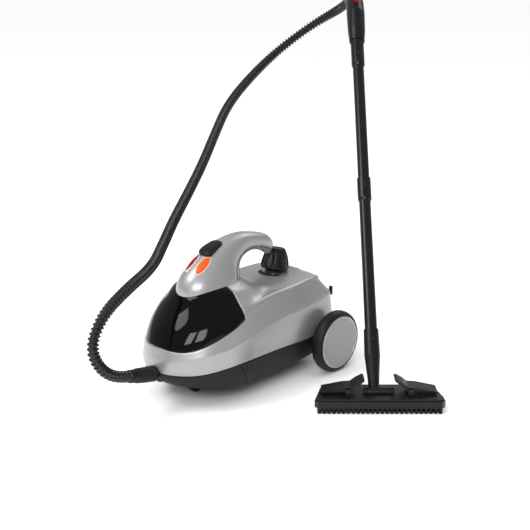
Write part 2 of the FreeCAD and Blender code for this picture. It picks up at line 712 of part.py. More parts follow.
node("caster_pin", cylinder("caster_pin", size("pin_radius"), 2 * CHEEK_OUTER, pin_start),
     caster_place)
half_roller = size("caster_width") / 2
roller_bore = size("pin_radius") + size("running_gap")
roller = lathe("caster_roller", [
    (roller_bore, -half_roller), (caster_radius - 1, -half_roller),
    (caster_radius, 1 - half_roller), (caster_radius, half_roller - 1),
    (caster_radius - 1, half_roller), (roller_bore, half_roller)],
    caster_place * Placement(Vector(0, caster_trail, number("caster_radius")), ALONG_X))
node("caster_roller", roller)

# ---------------------------------------------------------------- hose
hose_radius = size("hose_radius")
SOCKET_MOUTH = 12
socket = lathe("hose_socket", [
    (PIPE_RADIUS, -16), (size("socket_radius"), -16), (size("socket_radius"), SOCKET_MOUTH),
    (hose_radius, SOCKET_MOUTH), (hose_radius, 0), (PIPE_RADIUS, 0)], outlet)
node("hose_socket", socket)

# The route is chosen by hand: out of the nose, round in a tight bend, back and up past the
# unit, and round into the rear end of the steam gun.
HOSE_ROUTE = [
    (0, -212, 58), (0, -280, 68), (-3, -334, 86), (-11, -357, 134), (-16, -326, 182),
    (-33, -259, 206), (-63, -177, 218), (-110, -109, 236), (-160, -36, 258), (-208, 42, 282),
    (-268, 140, 316), (-334, 242, 358), (-392, 335, 396), (-426, 432, 437), (-422, 522, 493),
    (-370, 592, 555), (-284, 606, 600), (-223.3, 540.3, 620.5)]
route = [Vector(*point) for point in HOSE_ROUTE]
runs = [(after - before).Length for before, after in zip(route, route[1:])]
bend_radii = []
for index in range(1, len(route) - 1):
    turn = (route[index] - route[index - 1]).getAngle(route[index + 1] - route[index])
    shorter = min(runs[index - 1], runs[index])
    bend_radii.append(0.45 * shorter / math.tan(turn / 2))
print("hose bend radii", [round(radius) for radius in bend_radii])
hose_edges = rounded_path(route, bend_radii)
hose_length = sum(edge.Length for edge in hose_edges)
hose = pipe_along(hose_edges, number("hose_radius"))
section = math.pi * number("hose_radius") ** 2
print("hose length", round(hose_length), "volume ratio", hose.Volume / (section * hose_length))
node("steam_hose", feature("steam_hose", hose), unit)


def cuff_along(straight, arc, share, radius):
    """A sleeve round the hose, along one straight run and a share of the next arc."""
    low, high = arc.FirstParameter, arc.LastParameter
    piece = arc.Curve.toShape(low, low + (high - low) * share)
    path = [straight, piece]
    return pipe_along(path, radius).cut(pipe_along(path, number("hose_radius")))


first_run = hose_edges[0]
mouth = first_run.valueAt(first_run.FirstParameter + SOCKET_MOUTH)
cuff_start = Part.LineSegment(mouth, first_run.valueAt(first_run.LastParameter)).toShape()
CUFF_RADIUS = 13.5
CUFF_SHARE = 0.7
node("hose_cuff", feature("hose_cuff", cuff_along(
    cuff_start, hose_edges[1], CUFF_SHARE, CUFF_RADIUS)), unit)

# ---------------------------------------------------------------- wand: neck and tubes
tube_radius = size("tube_radius")
spigot_radius = size("spigot_radius")
collar_radius = size("coupling_radius")
tube_wall = size("tube_wall")
spigot_bore = spigot_radius - tube_wall
neck_end = size("neck_end")
tube_length = size("tube_length")
SPIGOT = 40
SOCKET = 44
FIT_GAP = 0.1


def latch_hole(height):
    """The hole through a tube's front wall that a latch button sits in."""
    return Placement(Vector(0, 0, height), ALONG_MINUS_Y)


def extension_tube(label, start):
    """A tube with a spigot at its low end and a wider socket at its high end."""
    end = start + tube_length
    profile = [
        (spigot_bore, start - SPIGOT), (spigot_radius, start - SPIGOT),
        (spigot_radius, start), (tube_radius, start), (tube_radius, end - SOCKET - 4),
        (collar_radius, end - SOCKET), (collar_radius, end), (spigot_radius + FIT_GAP, end),
        (spigot_radius + FIT_GAP, end - SOCKET + 1), (spigot_bore, end - SOCKET + 1)]
    return lathe(label, profile, wand)


LATCH_DROP = 22
neck_top = number("neck_end")
tube_step = number("tube_length")
joints_z = [neck_top, neck_top + tube_step, neck_top + 2 * tube_step]
latch_z = [z - LATCH_DROP for z in joints_z]
LATCH_RADIUS = 4
LATCH_FLOOR = 4.5
latch_names = ["lower_latch", "middle_latch", "upper_latch"]
latch_tools = []
for name, height in zip(latch_names, latch_z):
    hole = cylinder(name + "_hole", LATCH_RADIUS + 0.35, 30, wand * latch_hole(height))
    latch_tools.append(hole)
    button_place = wand * latch_hole(height) * at(0, 0, LATCH_FLOOR)
    node(name, cylinder(name, LATCH_RADIUS, 10.2, button_place))

lower_raw = extension_tube("lower_tube_raw", neck_end)
upper_raw = extension_tube("upper_tube_raw", neck_end + tube_length)
lower_holes = fuse("lower_holes", latch_tools[:2])
upper_holes = fuse("upper_holes", latch_tools[1:])
node("lower_tube", cut("lower_tube", lower_raw, lower_holes))
node("upper_tube", cut("upper_tube", upper_raw, upper_holes))

NECK_X = 8
BARREL_RADIUS = 9
BARREL_HALF = 19.5
PIN_RADIUS = 3


def along_x(low, across=0, height=0):
    return Placement(Vector(low, across, height), ALONG_X)


barrel = cylinder("barrel", BARREL_RADIUS, 2 * BARREL_HALF, along_x(NECK_X - BARREL_HALF))
socket_floor = neck_end - SPIGOT - 1
neck_tube = lathe("neck_tube", [
    (0, 0), (8.5, 0), (10.5, 30), (collar_radius, 58), (collar_radius + 0.6, 64),
    (collar_radius, neck_end), (spigot_radius + FIT_GAP, neck_end),
    (spigot_radius + FIT_GAP, socket_floor), (spigot_bore, socket_floor), (spigot_bore, 26),
    (0, 26)])
neck_raw = fuse("neck_raw", [barrel, neck_tube])
neck_tools = fuse("neck_tools", [
    cylinder("barrel_bore", PIN_RADIUS + 0.05, 2 * BARREL_HALF + 2,
             along_x(NECK_X - BARREL_HALF - 1)),
    cylinder("neck_latch_hole", LATCH_RADIUS + 0.35, 30, latch_hole(latch_z[0]))])
node("brush_neck", cut("brush_neck", neck_raw, neck_tools), wand)

# ---------------------------------------------------------------- floor brush
half_length = number("brush_length") / 2
half_depth = number("brush_depth") / 2
deck_low = number("bristle_height") - 2
deck_top = number("brush_top")
pivot = Vector(number("pivot_x") + NECK_X, number("pivot_y"), number("pivot_z"))
LUG_INNER = 20
LUG_OUTER = 25

brush_corners = [
    (-half_length, -half_depth + 8), (-half_length + 6, -half_depth),
    (half_length - 6, -half_depth), (half_length, -half_depth + 8),
    (half_length - 12, half_depth - 6), (half_length - 26, half_depth),
    (-half_length + 26, half_depth), (-half_length + 12, half_depth - 6)]
deck_wire = Part.makePolygon([Vector(x, y, deck_low) for x, y in brush_corners
                              + brush_corners[:1]])
deck = Part.Face(deck_wire).extrude(Vector(0, 0, deck_top - deck_low - 4))
rim_wire = Part.makePolygon([Vector(x * 0.98, y * 0.94, deck_low + 11) for x, y in
                             brush_corners + brush_corners[:1]])
deck = deck.fuse(Part.Face(rim_wire).extrude(Vector(0, 0, deck_top - deck_low - 11)))
for side in (-1, 1):
    low = min(side * LUG_INNER, side * LUG_OUTER)
    lug_start = Vector(pivot.x + low, pivot.y, pivot.z)
    thick = LUG_OUTER - LUG_INNER
    lug = Part.makeCylinder(8, thick, lug_start, Vector(1, 0, 0))
    foot = Part.makeBox(thick, 24, pivot.z - deck_top + 4,
                        Vector(lug_start.x, pivot.y - 12, deck_top - 6))
    deck = deck.fuse(lug).fuse(foot)
swing_room = Part.makeCylinder(BARREL_RADIUS + 1.5, 2 * LUG_INNER,
                               Vector(pivot.x - LUG_INNER, pivot.y, pivot.z), Vector(1, 0, 0))
lean_room = Part.makeBox(2 * LUG_INNER, 24, 30, Vector(
    pivot.x - LUG_INNER, pivot.y, deck_top - 6))
deck = deck.cut(swing_room).cut(lean_room)
pin_length = 2 * LUG_OUTER
pin_start = Vector(pivot.x - LUG_OUTER, pivot.y, pivot.z)
pin_solid = Part.makeCylinder(PIN_RADIUS, pin_length, pin_start, Vector(1, 0, 0))
deck = deck.cut(pin_solid)
node("neck_pin", feature("neck_pin", pin_solid), brush)

# cloth clamps: a lever on its own stub pins at each side, paddle inwards, plate outwards
CLAMP_X = 52
CLAMP_PIN_Z = 33.5
CLAMP_PIN_RADIUS = 2
CLAMP_HALF_DEPTH = 15
CLAMP_PIN_DEPTH = 2 * CLAMP_HALF_DEPTH + 10
CLAMP_SIDE = [(-44, 29.5), (-44, 32), (-8, 39.5), (4, 40), (13, 47), (24, 53), (27, 51),
              (16, 42), (6, 33), (4, 29.5), (-4, 29.5), (-12, 33)]
for name, side in (("left", -1), ("right", 1)):
    corners = [Vector(side * (CLAMP_X - x), -CLAMP_HALF_DEPTH, z) for x, z in CLAMP_SIDE]
    lever = Part.Face(Part.makePolygon(corners + corners[:1])).extrude(
        Vector(0, 2 * CLAMP_HALF_DEPTH, 0))
    pin_base = Vector(side * CLAMP_X, -CLAMP_HALF_DEPTH - 5, CLAMP_PIN_Z)
    stub = Part.makeCylinder(CLAMP_PIN_RADIUS, CLAMP_PIN_DEPTH, pin_base, Vector(0, 1, 0))
    lever = lever.fuse(stub).removeSplitter()
    node(f"{name}_clamp", feature(f"{name}_clamp", lever), brush)
    for ear_y in (-CLAMP_HALF_DEPTH - 5, CLAMP_HALF_DEPTH + 1):
        ear = Part.makeBox(9, 4, CLAMP_PIN_Z + 4 - deck_top + 2,
                           Vector(side * CLAMP_X - 4.5, ear_y, deck_top - 2))
        deck = deck.fuse(ear)
    deck = deck.cut(Part.makeCylinder(
        CLAMP_PIN_RADIUS + 0.05, CLAMP_PIN_DEPTH, pin_base, Vector(0, 1, 0)))
node("brush_body", feature("brush_body", deck.removeSplitter()), brush)

# the bristles: tufts in rows round the sole, kept as one node of separate solids
TUFT_PITCH = 8
TUFT_RADIUS = 3.2
tufts = []
tuft_count = int((2 * half_length - 16) / TUFT_PITCH)
for row_y in (-half_depth + 5, -half_depth + 13):
    for index in range(tuft_count + 1):
        x = (index - tuft_count / 2) * TUFT_PITCH
        tufts.append(post(TUFT_RADIUS, x, row_y, 0, deck_low))
for index in range(tuft_count - 5):
    x = (index - (tuft_count - 6) / 2) * TUFT_PITCH
    tufts.append(post(TUFT_RADIUS, x, half_depth - 6, 0, deck_low))
node("brush_bristles", feature("brush_bristles", Part.makeCompound(tufts)), brush)

# ---------------------------------------------------------------- steam gun
# each station across the gun: middle (y, z), lean of the section, half width, half depth
gun_low = joints_z[2]
GUN_STATIONS = [
    (0, 14, 0, 15, 15), (0, 40, 0, 17, 19), (1, 80, 4, 18, 23), (6, 112, 14, 17.5, 22),
    (18, 140, 30, 16.5, 20), (40, 168, 44, 16, 19), (66, 190, 54, 16, 18.5),
    (92, 206, 58, 15, 16)]


def gun_block(inset=0.0, ends=0.0):
    wires = []
    last = len(GUN_STATIONS) - 1
    for index, (y, z, lean, half_width, half_depth_here) in enumerate(GUN_STATIONS):
        angle = math.radians(lean)
        ahead = Vector(0, math.sin(angle), math.cos(angle))
        across = Vector(0, math.cos(angle), -math.sin(angle))
        push = ends if index == 0 else -ends if index == last else 0
        middle = Vector(0, y, gun_low + z) + ahead * push
        wires.append(oval(middle, Vector(1, 0, 0), across,
                          half_width - inset, half_depth_here - inset))
    return loft(wires)


gun_outer = gun_block()
gun = gun_outer.cut(gun_block(2.2, 3))

NOZZLE_BORE_RADIUS = 11
nozzle_room = Part.makeCylinder(NOZZLE_BORE_RADIUS, 30, Vector(0, 0, gun_low + 5))
gun = gun.cut(nozzle_room)
nozzle = lathe("gun_nozzle", [
    (spigot_bore, gun_low - SPIGOT), (spigot_radius, gun_low - SPIGOT),
    (spigot_radius, gun_low), (collar_radius, gun_low), (collar_radius, gun_low + 14),
    (NOZZLE_BORE_RADIUS, gun_low + 14), (NOZZLE_BORE_RADIUS, gun_low + 30),
    (spigot_bore, gun_low + 30)])
nozzle_hole = cylinder("nozzle_latch_hole", LATCH_RADIUS + 0.35, 30, latch_hole(latch_z[2]))
node("gun_nozzle", cut("gun_nozzle", nozzle, nozzle_hole), wand)

# the trigger swings on its own stub pins, in a slot on the underside of the grip
TRIGGER_PIVOT = Vector(0, 18, gun_low + 96)
TRIGGER_PIN_HALF = 10.5
TRIGGER_SIDE = [(14, 92), (38, 88), (42, 96), (35, 112), (37, 126), (30, 133), (14, 118)]
trigger_corners = [Vector(-4, y, gun_low + z) for y, z in TRIGGER_SIDE]
trigger = Part.Face(Part.makePolygon(trigger_corners + trigger_corners[:1])).extrude(
    Vector(8, 0, 0))


def trigger_stub(radius, half_length):
    return Part.makeCylinder(radius, 2 * half_length,
                             TRIGGER_PIVOT - Vector(half_length, 0, 0), Vector(1, 0, 0))


trigger = trigger.fuse(trigger_stub(2, TRIGGER_PIN_HALF)).removeSplitter()
node("gun_trigger", feature("gun_trigger", trigger), wand)
gun = gun.cut(Part.makeBox(9, 60, 54, Vector(-4.5, 10, gun_low + 83)))
# two sockets inside the shells carry the stub pins
pin_socket = trigger_stub(4, 16).common(gun_outer).cut(
    Part.makeBox(12, 40, 40, TRIGGER_PIVOT - Vector(6, 20, 20)))
gun = gun.fuse(pin_socket).cut(trigger_stub(2.05, TRIGGER_PIN_HALF + 0.3))

# child lock: a slider on the back of the grip
LOCK_TRAVEL = 6
lock = box("gun_lock_slider", 7.4, 10, 12, at(-3.7, -25, gun_low + 95))
node("gun_lock_slider", lock, wand)
gun = gun.cut(Part.makeBox(8, 24, 12 + LOCK_TRAVEL + 1, Vector(-4, -34, gun_low + 94.5)))
node("gun_microswitch", box("gun_microswitch", 6, 10, 20, at(-3, -6, gun_low + 102)), wand)

# the sleeve round the hose where it enters the gun
GUN_CUFF_LENGTH = 34
last_run = hose_edges[-1]
cuff_back = last_run.valueAt(last_run.LastParameter - GUN_CUFF_LENGTH)
gun_cuff_path = [Part.LineSegment(cuff_back, last_run.valueAt(last_run.LastParameter)).toShape()]
gun_cuff = pipe_along(gun_cuff_path, CUFF_RADIUS).cut(
    pipe_along(gun_cuff_path, number("hose_radius")))
node("gun_cuff", feature("gun_cuff", gun_cuff), unit)
to_wand = wand.inverse() * unit
for entering in (gun_cuff, hose):
    tool = entering.copy()
    tool.Placement = to_wand
    gun = gun.cut(tool)

GUN_SCREWS = [(-10, 52), (14, 146), (70, 192)]
gun_screws = []
for y, z in GUN_SCREWS:
    start = Vector(-30, y, gun_low + z)
    boss = Part.makeCylinder(4, 60, start, Vector(1, 0, 0)).common(gun_outer)
    screw = Part.makeCylinder(1.5, 22, Vector(-11, y, gun_low + z), Vector(1, 0, 0))
    head = Part.makeCylinder(2.8, 2, Vector(-13, y, gun_low + z), Vector(1, 0, 0))
    head_room = Part.makeCylinder(2.8, 20, Vector(-31, y, gun_low + z), Vector(1, 0, 0))
    gun = gun.fuse(boss).cut(screw).cut(head_room)
    gun_screws.append(screw.fuse(head).removeSplitter())
node("gun_screws", feature("gun_screws", Part.makeCompound(gun_screws)), wand)
for name, low in (("left", 0), ("right", -60)):
    half_space = Part.makeBox(60, 400, 400, Vector(low, -150, gun_low - 50))
    shell = gun.common(half_space)
    node(f"gun_{name}_shell", feature(f"gun_{name}_shell", shell), wand)

# ---------------------------------------------------------------- check and write
doc.recompute()
for item in doc.Objects:
    if "Invalid" in item.State or "Error" in item.State:
        raise RuntimeError(f"{item.Label}: {item.State}")
os.makedirs("parts", exist_ok=True)
for name, item in nodes.items():
    shape = item.Shape
    if shape.isNull() or not shape.isValid() or not shape.Solids:
        raise RuntimeError(f"{name} has no valid solid")
    shape.exportStep(os.path.join("parts", name + ".step"))
print("sub-parts written:", len(nodes))
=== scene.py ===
import json
import math
import bmesh
import bpy
import numpy as np
from mathutils import Euler, Matrix, Vector
from mathutils.bvhtree import BVHTree


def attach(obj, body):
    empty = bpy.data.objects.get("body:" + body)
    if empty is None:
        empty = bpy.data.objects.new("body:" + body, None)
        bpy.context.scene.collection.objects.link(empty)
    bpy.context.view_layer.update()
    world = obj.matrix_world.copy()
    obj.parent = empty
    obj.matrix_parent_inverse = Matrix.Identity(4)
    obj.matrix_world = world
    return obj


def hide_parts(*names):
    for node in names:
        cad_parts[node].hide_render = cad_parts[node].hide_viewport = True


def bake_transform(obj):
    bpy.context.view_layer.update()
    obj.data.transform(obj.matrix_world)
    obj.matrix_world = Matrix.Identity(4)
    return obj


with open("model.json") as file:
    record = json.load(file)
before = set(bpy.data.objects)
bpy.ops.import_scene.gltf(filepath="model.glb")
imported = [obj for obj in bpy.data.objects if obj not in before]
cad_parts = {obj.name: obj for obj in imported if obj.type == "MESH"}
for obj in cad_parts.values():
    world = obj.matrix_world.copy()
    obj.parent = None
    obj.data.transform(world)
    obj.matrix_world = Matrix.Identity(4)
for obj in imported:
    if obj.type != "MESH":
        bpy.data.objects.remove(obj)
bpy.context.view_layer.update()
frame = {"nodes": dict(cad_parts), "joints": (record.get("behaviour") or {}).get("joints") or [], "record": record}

# The looks of a canister steam cleaner. Shapes are in millimetres in the local frame of the
# unit or of its filler, and `placed` turns them into metres in the row frame. Lights, distances
# along the hose and the floor are in metres.
MM = 0.001
joint = {item["name"]: item for item in frame["joints"]}

# ---------------------------------------------------------------- frames taken from the CAD
AXLE_Y = 95
WHEEL_RADIUS = 56
left_hub = Vector(joint["left_wheel_spin"]["pos_m"])
right_hub = Vector(joint["right_wheel_spin"]["pos_m"])
unit_place = (left_hub + right_hub) / 2 - Vector((0, AXLE_Y, WHEEL_RADIUS)) * MM
UNIT = Matrix.Translation(unit_place) @ Matrix.Scale(MM, 4)


def frame_matrix(origin, x_axis, z_axis):
    """A frame in metres whose local lengths are millimetres."""
    y_axis = z_axis.cross(x_axis).normalized()
    rotation = Matrix((x_axis, y_axis, z_axis)).transposed().to_4x4()
    return Matrix.Translation(origin) @ rotation @ Matrix.Scale(MM, 4)


cap_axis = Vector(joint["cap_turn"]["axis"]).normalized()
FILLER = frame_matrix(Vector(joint["cap_turn"]["pos_m"]), Vector((1, 0, 0)), cap_axis)


def in_unit(x, y, z):
    return UNIT @ Vector((x, y, z))


# ---------------------------------------------------------------- mesh helpers
def placed(points, matrix):
    """Local millimetre points as an array of row-frame metres."""
    rows = np.array(points, float).reshape(-1, 3)
    turn = np.array(matrix.to_3x3())
    return rows @ turn.T + np.array(matrix.translation)


def new_object(name, points, faces, matrix, finish, smooth=True):
    mesh = bpy.data.meshes.new(name)
    mesh.from_pydata([tuple(p) for p in placed(points, matrix)], [], faces)
    mesh.update()
    item = bpy.data.objects.new(name, mesh)
    bpy.context.scene.collection.objects.link(item)
    if smooth:
        mesh.shade_smooth()
    item.data.materials.append(finish)
    return item


def outward(item):
    """Make the normals of a closed mesh point out."""
    work = bmesh.new()
    work.from_mesh(item.data)
    bmesh.ops.recalc_face_normals(work, faces=work.faces)
    work.to_mesh(item.data)
    work.free()
    return item


def show(item, body, slot_name, *stands_for):
    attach(item, body)
    if stands_for:
        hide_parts(*stands_for)
    return item


def ring_faces(rings, sides, cap_ends=False):
    """Quads between rings of `sides` points, and caps on the two ends if wanted."""
    faces = []
    for row in range(rings - 1):
        after = row + 1
        for side in range(sides):
            beside = (side + 1) % sides
            faces.append((row * sides + side, row * sides + beside,
                          after * sides + beside, after * sides + side))
    if cap_ends:
        faces.append(tuple(range(sides))[::-1])
        faces.append(ring_cap(rings - 1, sides))
    return faces


def ring_cap(ring, sides):
    """One face over a ring of points, counted from 0."""
    return tuple(ring * sides + side for side in range(sides))


def squared_circle(angle, squareness):
    """Cosine and sine on a superellipse: 2 is a circle, and more is squarer."""
    c, s = math.cos(angle), math.sin(angle)
    power = 2 / squareness
    return math.copysign(abs(c) ** power, c), math.copysign(abs(s) ** power, s)


def turned(profile, sides, wave=None):
    """Points of a profile of (radius, height) turned about Z; wave(angle, height, r) bends it."""
    points = []
    for radius, height in profile:
        for side in range(sides):
            angle = 2 * math.pi * side / sides
            reach = wave(angle, height, radius) if wave else radius
            points.append((reach * math.cos(angle), reach * math.sin(angle), height))
    return points


def rounded(profile, radius=1.0, steps=4):
    """Round each corner of an open profile, except its two ends."""
    made = [profile[0]]
    for index in range(1, len(profile) - 1):
        corner = Vector(profile[index])
        before = Vector(profile[index - 1]) - corner
        after = Vector(profile[index + 1]) - corner
        cut = min(radius, before.length / 2, after.length / 2)
        first = corner + before.normalized() * cut
        last = corner + after.normalized() * cut
        for step in range(steps + 1):
            share = step / steps
            near = first.lerp(corner, share)
            far = corner.lerp(last, share)
            made.append(tuple(near.lerp(far, share)))
    made.append(profile[-1])
    return made


def lathe(name, profile, sides, matrix, finish, wave=None):
    """A turned piece; points that fall together on its axis are joined."""
    points = turned(profile, sides, wave)
    faces = ring_faces(len(profile), sides)
    item = new_object(name, points, faces, matrix, finish)
    work = bmesh.new()
    work.from_mesh(item.data)
    bmesh.ops.remove_doubles(work, verts=work.verts, dist=1e-6)
    bmesh.ops.recalc_face_normals(work, faces=work.faces)
    work.to_mesh(item.data)
    work.free()
    return item


def cage_surface(points, faces, tags, sharp=None, levels=3, passes=4):
    """A subdivision surface that passes through the cage's points.

    Gives its vertices and its faces with their tags; sharp maps an edge to its crease."""
    target = np.array(points, float)
    mesh = bpy.data.meshes.new("cage")
    mesh.from_pydata([tuple(p) for p in target], [], faces)
    mesh.polygons.foreach_set("material_index", tags)
    for _ in range(max(tags) + 1):
        mesh.materials.append(None)
    if sharp:
        crease = mesh.attributes.new("crease_edge", "FLOAT", "EDGE")
        for edge in mesh.edges:
            crease.data[edge.index].value = sharp.get(tuple(sorted(edge.vertices)), 0.0)
    item = bpy.data.objects.new("cage", mesh)
    bpy.context.scene.collection.objects.link(item)
    modifier = item.modifiers.new("smooth", "SUBSURF")
    modifier.levels = levels
    modifier.render_levels = levels
    cage = target.copy()
    for step in range(passes + 1):
        graph = bpy.context.evaluated_depsgraph_get()
        graph.update()
        shown = bpy.data.meshes.new_from_object(item.evaluated_get(graph))
        reached = np.zeros(len(shown.vertices) * 3)
        shown.vertices.foreach_get("co", reached)
        reached = reached.reshape(-1, 3)
        if step == passes:
            break
        cage += target - reached[:len(target)]
        mesh.vertices.foreach_set("co", cage.ravel())
        mesh.update()
        bpy.data.meshes.remove(shown)
    made_faces = [tuple(face.vertices) for face in shown.polygons]
    made_tags = [face.material_index for face in shown.polygons]
    bpy.data.objects.remove(item)
    bpy.data.meshes.remove(mesh)
    bpy.data.meshes.remove(shown)
    return reached, made_faces, made_tags


def tagged_part(points, faces, tags, wanted):
    """The vertices and faces of the faces that carry one tag."""
    kept = [face for face, tag in zip(faces, tags) if tag == wanted]
    used = sorted({index for face in kept for index in face})
    new_index = {old: new for new, old in enumerate(used)}
    return points[used], [tuple(new_index[i] for i in face) for face in kept]


def thick_shell(name, points, faces, matrix, finish, depth, inset, drop):
    """A shell of real thickness, with its rims drawn in and down so that seams show."""
    item = new_object(name, points, faces, matrix, finish)
    work = bmesh.new()
    work.from_mesh(item.data)
    bmesh.ops.recalc_face_normals(work, faces=work.faces)
    work.normal_update()
    moves = {}
    for vert in work.verts:
        rim = [edge for edge in vert.link_edges if edge.is_boundary]
        if not rim:
            continue
        inner = [edge.other_vert(vert).co for edge in vert.link_edges if not edge.is_boundary]
        if not inner:
            continue
        middle = sum(inner, Vector()) / len(inner)
        step = middle - vert.co
        pull = min(inset * MM, 0.4 * step.length)
        moves[vert] = vert.co + step.normalized() * pull - vert.normal * drop * MM
    for vert, co in moves.items():
        vert.co = co
    work.to_mesh(item.data)
    work.free()
    wall = item.modifiers.new("wall", "SOLIDIFY")
    wall.thickness = depth * MM
    wall.offset = -1
    return item


def mirrored(points, faces, tags, sharp):
    """Add the other side of a half made for x >= 0; points on x = 0 are shared."""
    points = [tuple(p) for p in points]
    twin = {}
    made = list(points)
    for index, (x, y, z) in enumerate(points):
        if abs(x) < 1e-6:
            twin[index] = index
        else:
            twin[index] = len(made)
            made.append((-x, y, z))
    other = [tuple(twin[i] for i in face)[::-1] for face in faces]
    both = dict(sharp)
    for (a, b), value in sharp.items():
        both[tuple(sorted((twin[a], twin[b])))] = value
    return made, list(faces) + other, list(tags) * 2, both


def table_value(table, key):
    """Straight-line reading of a table of (key, value, ...) rows, as a list of values."""
    if key <= table[0][0]:
        return list(table[0][1:])
    for low, high in zip(table, table[1:]):
        if key <= high[0]:
            share = (key - low[0]) / (high[0] - low[0])
            return [a + (b - a) * share for a, b in zip(low[1:], high[1:])]
    return list(table[-1][1:])


def ease(value, low, high):
    """A smooth step from 0 at low to 1 at high."""
    share = min(1.0, max(0.0, (value - low) / (high - low)))
    return share * share * (3 - 2 * share)


# ---------------------------------------------------------------- materials
COAT_ROUGHNESS = 0.08
PLASTIC_IOR = 1.45
GRAIN_DEPTH = 0.0004


def material(name, colour, roughness, metallic=0.0, mottle=0.06, mottle_scale=60.0,
             grain=0.0, grain_scale=1400.0, rough_change=0.06, coat=0.0, specular=0.5,
             fine=0.0, fine_scale=4000.0):
    """A moulded or painted finish: uneven colour and gloss, and a fine surface grain."""
    made = bpy.data.materials.new(name)
    made.use_nodes = True
    tree = made.node_tree
    shader = next(n for n in tree.nodes if n.type == "BSDF_PRINCIPLED")
    shader.inputs["Metallic"].default_value = metallic
    shader.inputs["Coat Weight"].default_value = coat
    shader.inputs["Coat Roughness"].default_value = COAT_ROUGHNESS
    shader.inputs["Specular IOR Level"].default_value = specular
    shader.inputs["IOR"].default_value = PLASTIC_IOR
    place = tree.nodes.new("ShaderNodeTexCoord")
    cloud = tree.nodes.new("ShaderNodeTexNoise")
    cloud.inputs["Scale"].default_value = mottle_scale
    cloud.inputs["Detail"].default_value = 5
    tree.links.new(place.outputs["Object"], cloud.inputs["Vector"])
    tint = tree.nodes.new("ShaderNodeMix")
    tint.data_type = "RGBA"
    tint.inputs[6].default_value = (*[c * (1 - mottle) for c in colour], 1)
    tint.inputs[7].default_value = (*[min(1, c * (1 + mottle)) for c in colour], 1)
    tree.links.new(cloud.outputs["Fac"], tint.inputs[0])
    colour_out = tint.outputs[2]
    if fine:
        speck = tree.nodes.new("ShaderNodeTexNoise")
        speck.inputs["Scale"].default_value = fine_scale
        speck.inputs["Detail"].default_value = 2
        tree.links.new(place.outputs["Object"], speck.inputs["Vector"])
        flake = tree.nodes.new("ShaderNodeMix")
        flake.data_type = "RGBA"
        flake.blend_type = "OVERLAY"
        flake.inputs[0].default_value = fine
        tree.links.new(tint.outputs[2], flake.inputs[6])
        tree.links.new(speck.outputs["Fac"], flake.inputs[7])
        colour_out = flake.outputs[2]
    tree.links.new(colour_out, shader.inputs["Base Color"])
    gloss = tree.nodes.new("ShaderNodeMapRange")
    gloss.inputs["To Min"].default_value = max(0.02, roughness - rough_change)
    gloss.inputs["To Max"].default_value = min(1.0, roughness + rough_change)
    tree.links.new(cloud.outputs["Fac"], gloss.inputs["Value"])
    tree.links.new(gloss.outputs["Result"], shader.inputs["Roughness"])
    if grain:
        pits = tree.nodes.new("ShaderNodeTexNoise")
        pits.inputs["Scale"].default_value = grain_scale
        pits.inputs["Detail"].default_value = 3
        tree.links.new(place.outputs["Object"], pits.inputs["Vector"])
        bump = tree.nodes.new("ShaderNodeBump")
        bump.inputs["Strength"].default_value = grain
        bump.inputs["Distance"].default_value = GRAIN_DEPTH
        tree.links.new(pits.outputs["Fac"], bump.inputs["Height"])
        tree.links.new(bump.outputs["Normal"], shader.inputs["Normal"])
    return made


silver = material("silver_paint", (0.345, 0.348, 0.352), 0.34, metallic=0.5, mottle=0.03,
                  mottle_scale=25, grain=0.05, grain_scale=2500, rough_change=0.04,
                  coat=0.15, fine=0.12, fine_scale=5200)
silver_dark = material("silver_inner", (0.36, 0.35, 0.31), 0.42, metallic=0.4, mottle=0.04,
                       grain=0.08, fine=0.1)
smoke = material("smoked_gloss", (0.002, 0.002, 0.0025), 0.06, mottle=0.2, mottle_scale=15,
                 rough_change=0.02, specular=0.22)
charcoal = material("charcoal_moulding", (0.011, 0.011, 0.012), 0.5, mottle=0.12, grain=0.22,
                    grain_scale=1700, specular=0.25)
black = material("black_satin", (0.005, 0.006, 0.007), 0.34, mottle=0.15, grain=0.12,
                 grain_scale=2200, specular=0.3)
hose_black = material("hose_rubber", (0.003, 0.003, 0.0035), 0.26, mottle=0.2, grain=0.06,
                      specular=0.5)
tube_black = material("tube_satin", (0.005, 0.0055, 0.008), 0.27, mottle=0.12, grain=0.05,
                      grain_scale=2600, rough_change=0.05, specular=0.35)
tyre = material("tyre_rubber", (0.006, 0.006, 0.008), 0.45, mottle=0.2, grain=0.25,
                grain_scale=1500, specular=0.3)
disc_silver = material("disc_silver", (0.30, 0.30, 0.29), 0.45, metallic=0.35, mottle=0.03,
                       grain=0.08, fine=0.1)
bright = material("bright_edge", (0.75, 0.75, 0.75), 0.22, metallic=0.8, mottle=0.03)
red = material("red_lens", (0.20, 0.002, 0.002), 0.14, mottle=0.15, specular=0.4)
amber = material("amber_lens", (0.62, 0.085, 0.001), 0.14, mottle=0.18, specular=0.4)
lens_rim = material("lens_rim", (0.72, 0.70, 0.66), 0.25, metallic=0.2, mottle=0.03)
steel = material("pressed_steel", (0.58, 0.58, 0.59), 0.32, metallic=1.0, mottle=0.06,
                 grain=0.08)
brass = material("turned_brass", (0.72, 0.52, 0.22), 0.3, metallic=1.0, mottle=0.1, grain=0.06)
silicone = material("silicone_black", (0.012, 0.011, 0.011), 0.6, mottle=0.1, grain=0.1)
white = material("natural_nylon", (0.78, 0.77, 0.72), 0.5, mottle=0.05, grain=0.1)
nylon_black = material("nylon_tuft", (0.005, 0.005, 0.005), 0.45, mottle=0.25, specular=0.25)

